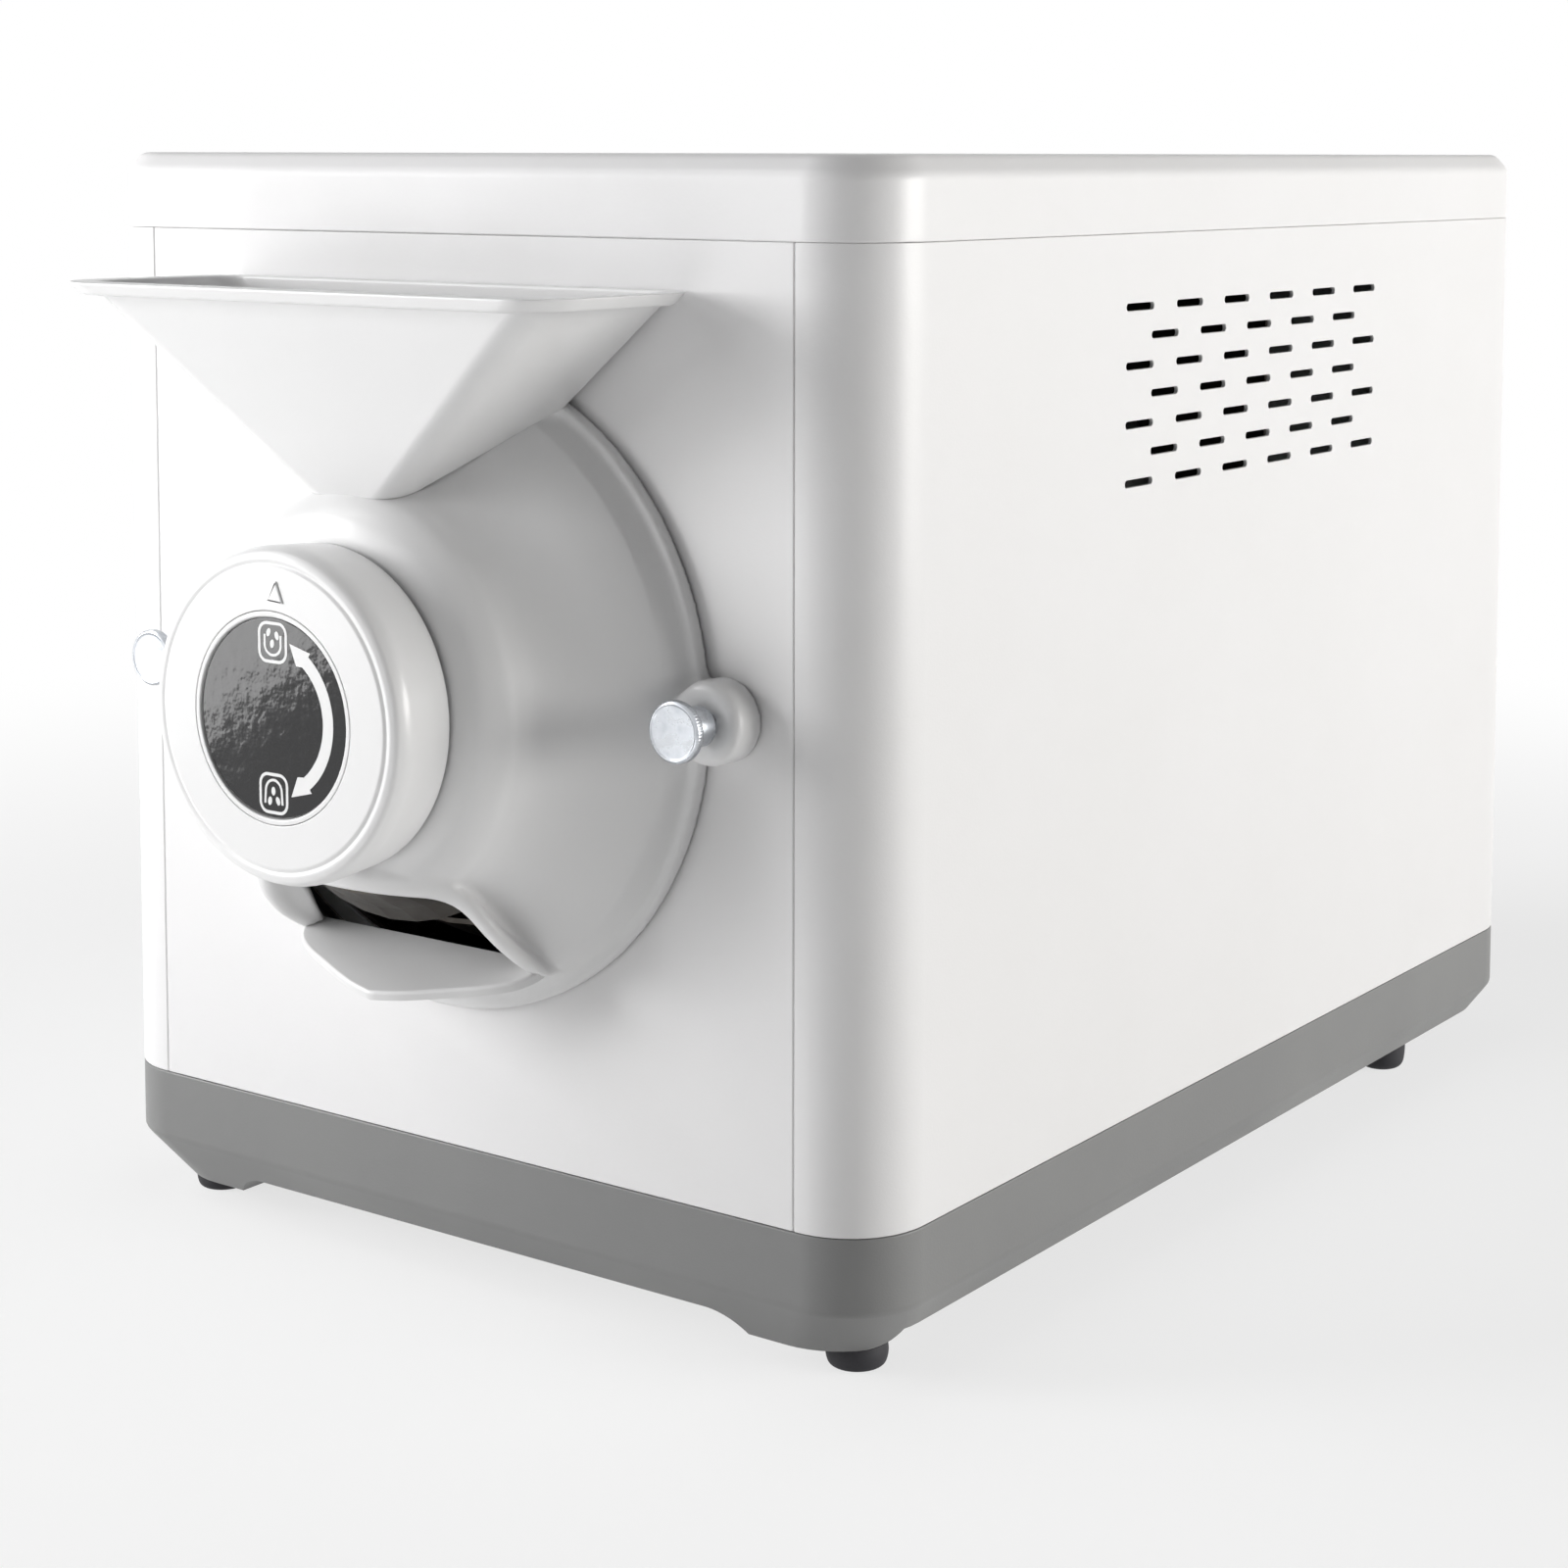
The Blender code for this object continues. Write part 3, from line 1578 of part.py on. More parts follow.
def make_cover():
    """Bell, neck, centre post, lugs and the flaring hood of the outlet, in one casting."""
    screw_hole = hub_screw_radius + fit
    hole_end = post_end - hub_screw_length
    inner_rim = rim_radius - cover_wall
    inside = inner_line[1:-1]
    back_wall = cover_face - cover_wall
    profile = (
        [
            (0, hole_end),
            (screw_hole, hole_end),
            (screw_hole, post_end),
            (post_radius, post_end),
            (post_radius, cover_face),
        ]
        + shoulder_line[::-1]
        + bell_line[::-1]
        + [(rim_radius, cover_back), (inner_rim, cover_back)]
        + inside
        + [
            (shoulder_radius - cover_wall, back_wall),
            (post_radius, back_wall),
            (post_radius, back_wall - stub_length),
            (0, back_wall - stub_length),
        ]
    )
    cover = turned("front_cover", profile, "gloss_white")
    hood = hood_solid("outlet_hood", 0, 0)
    dome = [(rim_radius * across, cover_face * along) for across, along in dome_shares]
    keep_inside(hood, solid_of_line("hood_dome", [(rim_radius, 0)] + dome))
    middle_line = offset_line(outer_line, cover_wall / 2)[1:-1]
    cut(hood, solid_of_line("bell_cavity", [(inner_rim, -overrun)] + middle_line))
    below = box(
        "below_tongue",
        (-rim_radius, -rim_radius, -rim_radius),
        (rim_radius, rim_radius, 0),
        "gloss_white",
    )
    cut(hood, on_tongue_slope(below))
    join(cover, hood)
    for side in (1, -1):
        lug = cylinder(
            f"lug_{side + 1}",
            lug_radius,
            lug_face - cover_back,
            "gloss_white",
            (side * lug_offset, front_y - (lug_face + cover_back) / 2, axis_height),
            facing_front,
            24,
        )
        join(cover, lug)
    mouth = hood_solid("mouth_cutter", hood_wall, hood_side_wall)
    under = box(
        "under_mouth",
        (-rim_radius, -rim_radius, -rim_radius),
        (rim_radius, rim_radius, -tongue_thickness / 4),
        "gloss_white",
    )
    cut(mouth, on_tongue_slope(under))
    throat = box(
        "throat_cutter",
        (-throat_hole_half_width, front_y - throat_hole_front, axis_height + neck_radius / 2),
        (throat_hole_half_width, front_y - throat_hole_back, axis_height + hopper_top),
        "gloss_white",
    )
    margin = (drive_pin_radius + drive_pin_clearance) / slot_circle_radius
    wide = slot_circle_radius + drive_pin_radius + drive_pin_clearance
    narrow = slot_circle_radius - drive_pin_radius - drive_pin_clearance
    outer = arc((0, 0), wide, pi / 2 - margin, 3 * pi / 2 + margin, 18)
    inner = arc((0, 0), narrow, pi / 2 - margin, 3 * pi / 2 + margin, 18)
    slot = plate(
        "selector_slot",
        [outer + inner[::-1]],
        4 * cover_wall,
        "gloss_white",
        (0, front_y - cover_face + cover_wall / 2, axis_height),
        facing_front,
    )
    cut(cover, tongue_solid("tongue_seat", fit), mouth, throat, slot)
    for side in (1, -1):
        hole = cylinder(
            f"lug_hole_{side + 1}",
            lug_hole_radius,
            4 * lug_face,
            "gloss_white",
            (side * lug_offset, front_y - lug_face, axis_height),
            facing_front,
            16,
        )
        cut(cover, hole)


def make_gasket():
    front = fit + gasket_thickness
    inner = rim_radius - gasket_width
    profile = [(rim_radius, front), (rim_radius, fit), (inner, fit), (inner, front)]
    turned("cover_gasket", profile, "seal_fibre")


def hopper_section(half_width, front, back, corner, back_corner, height):
    """One level of the hopper: its plan about the axis, front towards -Y."""
    depth = front - back
    radii = (back_corner, back_corner, corner, corner)
    outline = rounded(2 * half_width, depth, radii, 5, (0, -(front + back) / 2))
    return at_height(outline, height)


def make_hopper():
    """A funnel between two unlike sections, with a lip, trimmed to sit on the bell."""
    foot = axis_height + throat_height
    top = axis_height + hopper_top
    lip = top - hopper_lip
    rise = top - foot

    def section(inset, height, out=0):
        share = (height - foot) / rise
        half = throat_half_width + (hopper_half_width - throat_half_width) * share - inset + out
        front = throat_front + (hopper_front - throat_front) * share - inset + out
        corner = throat_corner + (hopper_corner - throat_corner) * share + out
        back_corner = throat_back_corner + (hopper_back_corner - throat_back_corner) * share + out
        back = hopper_back + inset - out * hopper_lip_back / hopper_lip_out
        return hopper_section(half, front, back, corner, back_corner, height)

    out = hopper_lip_out
    outer = [section(0, foot), section(0, lip), section(0, lip, out), section(0, top, out)]
    funnel = loft("hopper", outer, "gloss_white", (0, front_y, 0))
    inner = [section(hopper_wall, foot - overrun), section(hopper_wall, top + overrun)]
    hollow = loft("hopper_hollow", inner, "gloss_white", (0, front_y, 0))
    seat = solid_of_line("bell_seat", [(rim_radius + fit, -overrun)] + offset_line(outer_line[1:], -fit))
    cut(funnel, hollow, seat)


# Selector, label and thumbscrews


def make_selector():
    """Grip ring with its web, and the shutter inside the bell that it turns."""
    back = cover_face + knob_gap
    edge = knob_edge_radius
    bore = post_radius + fit
    web_back = knob_web_front - knob_web_thickness
    inner = knob_back_radius - knob_wall
    rounding = [
        (knob_radius - edge + r, knob_front - edge + h)
        for r, h in arc((0, 0), edge, 0, pi / 2, 4)
    ]
    profile = (
        [(knob_back_radius, back)]
        + rounding
        + [
            (knob_bore_radius, knob_front),
            (knob_bore_radius, knob_web_front),
            (bore, knob_web_front),
            (bore, web_back),
            (inner, web_back),
            (inner, back),
        ]
    )
    knob = turned("selector_knob", profile, "gloss_white")
    tip = pointer_radius + pointer_length / 2
    foot = pointer_radius - pointer_length / 2
    pointer = plate(
        "pointer",
        [[(0, tip), (-pointer_width / 2, foot), (pointer_width / 2, foot)]],
        2 * pointer_rise,
        "gloss_white",
        (0, front_y - knob_front, axis_height),
        facing_front,
    )
    pin_hole = cylinder(
        "knob_pin_hole",
        drive_pin_radius + fit,
        4 * knob_web_thickness,
        "gloss_white",
        (0, front_y - web_back, axis_height - slot_circle_radius),
        facing_front,
        16,
    )
    join(knob, pointer)
    cut(knob, pin_hole)
    make_shutter()
    pin_front = knob_web_front - fit
    pin_back = shutter_front - shutter_sheet
    cylinder(
        "drive_pin",
        drive_pin_radius,
        pin_front - pin_back,
        "zinc_steel",
        (0, front_y - (pin_front + pin_back) / 2, axis_height - slot_circle_radius),
        facing_front,
        16,
    )


shutter_front = neck_end - shutter_gap


def make_shutter():
    """A half bell just inside the cover: a web, a conical skirt and a hub on the stub."""
    whole = offset_line(inner_line[1:-1], shutter_gap)
    reach = radius_at(whole, shutter_front)
    skirt = [
        p for p in whole if p[0] <= shutter_edge_radius and p[1] < shutter_front - shutter_sheet
    ]
    shell = offset_line(skirt, shutter_sheet)
    bore = post_radius + fit
    profile = (
        [(bore, shutter_front), (reach, shutter_front)]
        + skirt[::-1]
        + shell
        + [(reach - shutter_sheet, shutter_front - shutter_sheet), (bore, shutter_front - shutter_sheet)]
    )
    shutter = turned("selector_shutter", profile, "drum_steel")
    upper = box(
        "shutter_upper_half",
        (-rim_radius, front_y - cover_face, axis_height),
        (rim_radius, front_y + overrun, axis_height + rim_radius),
        "drum_steel",
    )
    cut(shutter, upper)
    hub = [
        (shutter_hub_radius, shutter_front),
        (shutter_hub_radius, shutter_front - shutter_hub_length),
        (bore, shutter_front - shutter_hub_length),
        (bore, shutter_front),
    ]
    join(shutter, turned("shutter_hub", hub, "drum_steel"))
    hole = cylinder(
        "shutter_pin_hole",
        drive_pin_radius + fit,
        4 * shutter_sheet,
        "drum_steel",
        (0, front_y - shutter_front, axis_height - slot_circle_radius),
        facing_front,
        16,
    )
    cut(shutter, hole)


def make_label():
    """The fixed hub in the knob's middle, its label disc and the screw that holds it."""
    back = post_end + fit
    floor = knob_front - label_recess - label_thickness
    counterbore = hub_screw_head_radius + fit
    hole = hub_screw_radius + fit
    rim = label_hub_radius - label_rim_width
    profile = [
        (label_hub_radius, knob_front - label_rim_width / 2),
        (label_hub_radius, back),
        (hole, back),
        (hole, floor - hub_screw_head_height - fit),
        (counterbore, floor - hub_screw_head_height - fit),
        (counterbore, floor),
        (label_radius + fit, floor),
        (rim, knob_front),
        (label_hub_radius - label_rim_width / 2, knob_front),
    ]
    turned("label_hub", profile, "gloss_white")
    disc = floor + fit + label_thickness / 2
    cylinder(
        "label_disc",
        label_radius - fit,
        label_thickness,
        "label_black",
        (0, front_y - disc, axis_height),
        facing_front,
        big_steps,
    )
    top = floor - fit
    under = top - hub_screw_head_height + fit
    profile = [
        (0, top),
        (hub_screw_head_radius, top),
        (hub_screw_head_radius, under),
        (hub_screw_radius, under),
        (hub_screw_radius, post_end - hub_screw_length + 2 * fit),
        (0, post_end - hub_screw_length + 2 * fit),
    ]
    turned("hub_screw", profile, "zinc_steel", steps=16)


def make_thumbscrews():
    """Two thumbscrews through the lugs and the front panel, into nuts behind it."""
    head_back = thumb_head_front - thumb_head_height
    round_off = thumb_head_height / 6
    shoulder = lug_face + fit
    profile = [
        (0, thumb_head_front),
        (thumb_head_radius - round_off, thumb_head_front),
        (thumb_head_radius, thumb_head_front - round_off),
        (thumb_head_radius, head_back + round_off),
        (thumb_head_radius - round_off, head_back),
        (thumb_neck_radius, head_back),
        (thumb_neck_radius, shoulder),
        (thumb_shank_radius, shoulder),
        (thumb_shank_radius, -thumb_shank_depth),
        (0, -thumb_shank_depth),
    ]
    for side, name in ((-1, "left"), (1, "right")):
        place = (side * lug_offset, front_y, axis_height)
        turned("thumbscrew_" + name, profile, "zinc_steel", place, steps=24)
        front = -sheet - fit
        bore = thumb_shank_radius + fit
        nut = [(nut_radius, front), (nut_radius, front - nut_height), (bore, front - nut_height), (bore, front)]
        turned("clinch_nut_" + name, nut, "zinc_steel", place, steps=12)


def make_all():
    make_base()
    make_feet()
    make_chassis()
    make_shells()
    make_front_panel()
    make_rear_panel()
    make_lid()
    make_drum()
    make_vanes()
    make_shaft()
    make_shield()
    make_bulkhead()
    make_bearing()
    make_heaters()
    make_sensors()
    make_rollers()
    make_drive()
    make_fan()
    make_inlet()
    make_switch()
    make_dial()
    make_electronics()
    make_cover()
    make_gasket()
    make_hopper()
    tongue_solid("outlet_tongue", 0)
    make_selector()
    make_label()
    make_thumbscrews()


make_all()
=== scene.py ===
import contextlib
import json
import math

import bmesh
import bpy
import numpy as np
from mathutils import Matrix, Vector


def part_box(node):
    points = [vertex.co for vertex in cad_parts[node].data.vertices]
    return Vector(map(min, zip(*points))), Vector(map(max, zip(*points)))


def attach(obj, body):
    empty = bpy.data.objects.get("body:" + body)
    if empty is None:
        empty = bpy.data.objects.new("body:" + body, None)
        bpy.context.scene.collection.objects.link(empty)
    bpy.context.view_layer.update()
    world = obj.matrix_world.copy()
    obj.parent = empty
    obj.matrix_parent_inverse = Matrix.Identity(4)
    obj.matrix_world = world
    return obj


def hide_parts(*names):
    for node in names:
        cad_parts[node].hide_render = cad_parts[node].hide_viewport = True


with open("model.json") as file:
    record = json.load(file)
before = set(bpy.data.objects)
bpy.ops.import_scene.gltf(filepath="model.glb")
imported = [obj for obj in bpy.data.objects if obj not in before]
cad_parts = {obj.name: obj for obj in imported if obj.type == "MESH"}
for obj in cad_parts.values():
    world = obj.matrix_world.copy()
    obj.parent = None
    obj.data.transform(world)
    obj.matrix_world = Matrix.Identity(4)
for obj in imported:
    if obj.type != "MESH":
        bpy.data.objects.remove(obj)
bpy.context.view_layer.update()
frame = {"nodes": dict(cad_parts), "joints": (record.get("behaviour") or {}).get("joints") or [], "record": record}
nodes = frame["nodes"]
joints = {joint["name"]: joint for joint in frame["joints"]}

mm = 0.001
weldGap = 0.002 * mm  # points nearer than this become one
pi = math.pi
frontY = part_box("front_panel")[0].y  # outer face of the front panel
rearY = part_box("rear_panel")[1].y
axisZ = joints["selector_turn"]["pos_m"][2]  # height of the axis of drum, cover and knob
print("frame loaded")


def addObject(name, data):
    obj = bpy.data.objects.new(name, data)
    bpy.context.scene.collection.objects.link(obj)
    return obj


# Camera, solved from the photograph

camera = {
    "place": (0.48054, -0.67834, 0.27554),
    "turn": (1.483543, -0.002281, 0.613993),
    "lens": 68.8206,
    "shift": (-0.031672, -0.235619),
}


def makeCamera():
    data = bpy.data.cameras.new("camera")
    data.sensor_width = 36
    data.lens = camera["lens"]
    data.shift_x, data.shift_y = camera["shift"]
    data.clip_start = 0.01
    obj = addObject("camera", data)
    obj.location = camera["place"]
    obj.rotation_euler = camera["turn"]
    bpy.context.scene.camera = obj


makeCamera()
print("camera ready")


# Mesh makers


def newObject(name, points, faces):
    mesh = bpy.data.meshes.new(name)
    mesh.from_pydata(points.tolist(), [], faces)
    return addObject(name, mesh)


@contextlib.contextmanager
def openMesh(obj):
    work = bmesh.new()
    work.from_mesh(obj.data)
    yield work
    work.to_mesh(obj.data)
    work.free()


def mergeMesh(obj):
    # welds doubles, drops collapsed faces and turns every face outwards
    with openMesh(obj) as work:
        bmesh.ops.remove_doubles(work, verts=work.verts, dist=weldGap)
        bmesh.ops.dissolve_degenerate(work, edges=work.edges, dist=weldGap / 2)
        bmesh.ops.recalc_face_normals(work, faces=work.faces)


def gridFaces(rows, columns, wrapRows, wrapColumns):
    # each cell of the grid becomes one quad between its own corner and the next ones
    i, j = np.meshgrid(
        np.arange(rows if wrapRows else rows - 1),
        np.arange(columns if wrapColumns else columns - 1),
        indexing="ij",
    )
    down, right = (i + 1) % rows, (j + 1) % columns
    corners = (i * columns + j, i * columns + right, down * columns + right, down * columns + j)
    return np.stack(corners, -1).reshape(-1, 4)


def surface(name, grid, wrapRows=False):
    # a closed skin over a rows x columns x 3 grid whose columns run round the piece
    rows, columns, _ = grid.shape
    faces = gridFaces(rows, columns, wrapRows, True).tolist()
    if not wrapRows:
        faces.append(list(range(columns)))
        faces.append([(rows - 1) * columns + k for k in range(columns)])
    obj = newObject(name, grid.reshape(-1, 3), faces)
    mergeMesh(obj)
    return obj


def chain(*parts):
    return np.concatenate(parts)


def arc(radius, angle, centre=(0, 0)):
    return np.stack([centre[0] + radius * np.cos(angle), centre[1] + radius * np.sin(angle)], -1)


def leaned(points, angle):
    # turned clockwise about the origin
    cos, sin = math.cos(angle), math.sin(angle)
    return points @ np.array([(cos, -sin), (sin, cos)])


def softLine(corners, closed=False, steps=5):
    # each (a, b, soft) corner turns into a curve that leaves and meets its sides at the distance soft
    pieces = []
    for k, (a, b, soft) in enumerate(corners):
        here = np.array((a, b), float)
        if soft == 0 or (not closed and k in (0, len(corners) - 1)):
            pieces.append(here[None])
            continue
        before = np.array(corners[k - 1][:2]) - here
        after = np.array(corners[(k + 1) % len(corners)][:2]) - here
        reach = min(soft, 0.48 * np.hypot(*before), 0.48 * np.hypot(*after))
        start = here + before / np.hypot(*before) * reach
        end = here + after / np.hypot(*after) * reach
        t = np.linspace(0, 1, steps + 1)[:, None]
        pieces.append((1 - t) ** 2 * start + 2 * t * (1 - t) * here + t**2 * end)
    return np.concatenate(pieces)


def smoothCurve(points, count):
    # a cubic through the points: each stretch leaves a point along the line between its neighbours
    p = np.array(points, float)
    ends = chain([2 * p[0] - p[1]], p, [2 * p[-1] - p[-2]])
    t = np.linspace(0, len(p) - 1, count)
    k = np.minimum(t.astype(int), len(p) - 2)
    u = (t - k)[:, None]
    a, b, c, d = ends[k], ends[k + 1], ends[k + 2], ends[k + 3]
    return b + u * (c - a) / 2 + u**2 * (a - 2.5 * b + 2 * c - d / 2) + u**3 * (-a + 3 * b - 3 * c + d) / 2


def onAxis(x, forward, z):
    # millimetres right of, in front of and above the point where the cover's axis meets the panel
    return np.stack(np.broadcast_arrays(x * mm, frontY - forward * mm, axisZ + z * mm), -1)


def turnedPiece(name, line, centre=(0, 0), steps=128, wrap=False):
    # a line of (radius, forward) points is carried round an axis that points at the user
    angle = np.linspace(0, 2 * pi, steps, endpoint=False)
    radius, forward = line[:, :1], line[:, 1:]
    grid = onAxis(centre[0] + radius * np.cos(angle), forward, centre[1] + radius * np.sin(angle))
    return surface(name, grid, wrapRows=wrap)


def standingPiece(name, line, place, steps=64):
    # a line of (radius, height) points is carried round an upright axis
    angle = np.linspace(0, 2 * pi, steps, endpoint=False)
    radius, height = line[:, :1] * mm, line[:, 1:] * mm
    parts = np.broadcast_arrays(place[0] + radius * np.cos(angle), place[1] + radius * np.sin(angle), height)
    return surface(name, np.stack(parts, -1))


def roundedRectangle(width, depth, radius, steps=12):
    # four quarter circles joined by straight sides
    quarter = np.linspace(0, pi / 2, steps + 1)
    angle = np.concatenate([quarter + k * pi / 2 for k in range(4)])
    signX = np.repeat([1, -1, -1, 1], steps + 1)
    signY = np.repeat([1, 1, -1, -1], steps + 1)
    radius = max(radius, 0.01)
    return arc(radius, angle, (signX * (width / 2 - radius), signY * (depth / 2 - radius)))


def atHeight(flat, height):
    return np.column_stack([flat, np.full(len(flat), height)])


def roundedPrism(name, rings, middle):
    # rings of (width, depth, radius, height) in millimetres, one above another
    grid = [atHeight(roundedRectangle(w, d, r), h) * mm for w, d, r, h in rings]
    return surface(name, np.array(grid) + np.array(middle))


def plateFrom(name, outline, thickness, soft, place, steps=4):
    # a flat piece whose outline shrinks by a quarter circle at its front and back edges
    ahead = np.roll(outline, -1, 0) - outline
    behind = outline - np.roll(outline, 1, 0)
    tangent = ahead / np.linalg.norm(ahead, axis=1)[:, None]
    tangent += behind / np.linalg.norm(behind, axis=1)[:, None]
    normal = np.stack([tangent[:, 1], -tangent[:, 0]], -1)
    normal /= np.linalg.norm(normal, axis=1)[:, None]
    angle = np.linspace(0, pi / 2, steps + 1)
    fold = soft * (1 - np.sin(angle))
    inset = chain(fold, fold[::-1][1:])
    depth = chain(soft * (1 - np.cos(angle)), thickness - fold[::-1][:-1])
    flat = outline[None] - normal[None] * inset[:, None, None]
    grid = place(flat[..., 0], depth[:, None] + 0 * flat[..., 0], flat[..., 1])
    return surface(name, grid)


def addModifier(obj, kind, **settings):
    step = obj.modifiers.new(kind.lower(), kind)
    for key, value in settings.items():
        setattr(step, key, value)


def settle(obj):
    # works the modifiers into the mesh, so the piece is final
    bpy.context.view_layer.update()
    graph = bpy.context.evaluated_depsgraph_get()
    mesh = bpy.data.meshes.new_from_object(obj.evaluated_get(graph))
    obj.modifiers.clear()
    obj.data = mesh


def cutWith(obj, cutter):
    addModifier(obj, "BOOLEAN", operation="DIFFERENCE", solver="EXACT", object=cutter)
    settle(obj)
    bpy.data.objects.remove(cutter, do_unlink=True)


def joinMeshes(name, objects):
    work = bmesh.new()
    for obj in objects:
        work.from_mesh(obj.data)
        bpy.data.objects.remove(obj, do_unlink=True)
    mesh = bpy.data.meshes.new(name)
    work.to_mesh(mesh)
    work.free()
    return addObject(name, mesh)


def finishPiece(obj, finish, body, replaced=(), sharp=40):
    # shades the piece, gives it its finish and hands it to its body
    obj.data.materials.clear()
    obj.data.materials.append(finishes[finish]())
    obj.data.shade_smooth()
    obj.data.set_sharp_from_angle(angle=math.radians(sharp))
    addModifier(obj, "WEIGHTED_NORMAL", keep_sharp=True, weight=60)
    settle(obj)
    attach(obj, body)
    if replaced:
        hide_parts(*replaced)


# Finishes


def setInputs(node, values):
    for key, value in values.items():
        node.inputs[key].default_value = value


def addNode(tree, kind, values=None, **settings):
    node = tree.nodes.new("ShaderNode" + kind)
    for key, value in settings.items():
        setattr(node, key, value)
    setInputs(node, values or {})
    return node


def wire(tree, *links):
    # each link says which output of which node goes to which input of another
    for source, leaving, target, entering in links:
        tree.links.new(source.outputs[leaving], target.inputs[entering])


def socketGroup(name, inputs, outputs):
    group = bpy.data.node_groups.new(name, "ShaderNodeTree")
    for label in inputs:
        group.interface.new_socket(label, in_out="INPUT", socket_type="NodeSocketFloat")
    for label in outputs:
        group.interface.new_socket(label, in_out="OUTPUT", socket_type="NodeSocketFloat")
    return group


def mottleGroup():
    # a fine grain for the height, and a slow unevenness
    group = bpy.data.node_groups.get("finishMottle")
    if group:
        return group
    group = socketGroup("finishMottle", ("Grain scale", "Cloud scale"), ("Height", "Cloud"))
    entry = group.nodes.new("NodeGroupInput")
    leave = group.nodes.new("NodeGroupOutput")
    where = addNode(group, "TexCoord")
    grain = addNode(group, "TexNoise", {"Detail": 3, "Roughness": 0.55})
    cloud = addNode(group, "TexNoise", {"Detail": 4})
    spread = addNode(group, "MapRange", {"From Min": 0.35, "From Max": 0.65})
    wire(
        group,
        (where, "Object", grain, "Vector"),
        (where, "Object", cloud, "Vector"),
        (entry, "Grain scale", grain, "Scale"),
        (entry, "Cloud scale", cloud, "Scale"),
        (grain, "Fac", leave, "Height"),
        (cloud, "Fac", spread, "Value"),
        (spread, "Result", leave, "Cloud"),
    )
    return group


def baseFinish(
    name, light, dark, roughness, metallic=0.0, grain=900.0, bump=0.05, depth=0.0002, cloud=14.0, coat=0.0
):
    # two near colours and two roughnesses shared out by the slow unevenness, under a fine grain
    known = bpy.data.materials.get(name)
    if known:
        return known
    made = bpy.data.materials.new(name)
    made.use_nodes = True
    tree = made.node_tree
    shader = tree.nodes["Principled BSDF"]
    setInputs(shader, {"Metallic": metallic, "Coat Weight": coat, "Coat Roughness": 0.06})
    scales = {"Grain scale": grain, "Cloud scale": cloud}
    mottle = addNode(tree, "Group", scales, node_tree=mottleGroup())
    colour = addNode(tree, "Mix", {6: (*light, 1), 7: (*dark, 1)}, data_type="RGBA")
    gloss = addNode(tree, "MapRange", {"To Min": roughness[0], "To Max": roughness[1]})
    relief = addNode(tree, "Bump", {"Strength": bump, "Distance": depth})
    wire(
        tree,
        (mottle, "Cloud", colour, "Factor"),
        (mottle, "Cloud", gloss, "Value"),
        (mottle, "Height", relief, "Height"),
        (colour, 2, shader, "Base Color"),
        (gloss, "Result", shader, "Roughness"),
        (relief, "Normal", shader, "Normal"),
    )
    return made


finishes = {
    "shell_white": lambda: baseFinish(
        "powder coat white", (0.835, 0.83, 0.835), (0.815, 0.81, 0.812), (0.36, 0.44),
        grain=1500, bump=0.10, depth=0.00025,
    ),
    "gloss_white": lambda: baseFinish(
        "enamel white", (0.80, 0.80, 0.80), (0.785, 0.783, 0.785), (0.30, 0.38),
        grain=300, bump=0.03, depth=0.0003, coat=0.1,
    ),
    "base_grey": lambda: baseFinish(
        "moulded grey", (0.225, 0.226, 0.224), (0.205, 0.206, 0.206), (0.40, 0.50),
        grain=2200, bump=0.22, depth=0.0002,
    ),
    "rubber_black": lambda: baseFinish(
        "rubber black", (0.020, 0.019, 0.024), (0.014, 0.014, 0.017), (0.62, 0.78),
        grain=2600, bump=0.3, depth=0.0002,
    ),
    "zinc_steel": lambda: baseFinish(
        "zinc plated steel", (0.57, 0.59, 0.62), (0.42, 0.44, 0.47), (0.20, 0.42),
        metallic=1.0, grain=1600, bump=0.12, cloud=260.0,
    ),
    "drum_steel": lambda: baseFinish(
        "smoke browned steel", (0.085, 0.078, 0.070), (0.045, 0.040, 0.036), (0.42, 0.58),
        metallic=1.0, grain=700, bump=0.1, cloud=40.0,
    ),
    "aluminium": lambda: baseFinish(
        "bare aluminium", (0.72, 0.72, 0.73), (0.62, 0.62, 0.63), (0.32, 0.46),
        metallic=1.0, grain=900, bump=0.1, cloud=30.0,
    ),
    "bearing_brass": lambda: baseFinish(
        "bearing bronze", (0.66, 0.50, 0.23), (0.52, 0.38, 0.17), (0.28, 0.42),
        metallic=1.0, grain=900, bump=0.1,
    ),
    "black_plastic": lambda: baseFinish(
        "moulded black", (0.024, 0.024, 0.026), (0.017, 0.017, 0.019), (0.34, 0.46),
        grain=2000, bump=0.18,
    ),
    "label_black": lambda: baseFinish(
        "label black", (0.004, 0.004, 0.005), (0.007, 0.007, 0.008), (0.07, 0.10),
        grain=170, bump=0.14, depth=0.0008, coat=0.1,
    ),
    "board_green": lambda: baseFinish(
        "board green", (0.02, 0.16, 0.07), (0.015, 0.11, 0.05), (0.30, 0.45),
        grain=800, bump=0.1,
    ),
    "seal_fibre": lambda: baseFinish(
        "woven fibre", (0.38, 0.36, 0.33), (0.26, 0.25, 0.23), (0.85, 0.95),
        grain=1400, bump=0.6, depth=0.0004,
    ),
}

slots = {row["node"]: row["material_slot"] for row in frame["record"]["subparts"]}
for name, obj in nodes.items():
    obj.data.materials.clear()
    obj.data.materials.append(finishes[slots[name]]())
print("finishes ready")


# Cabinet

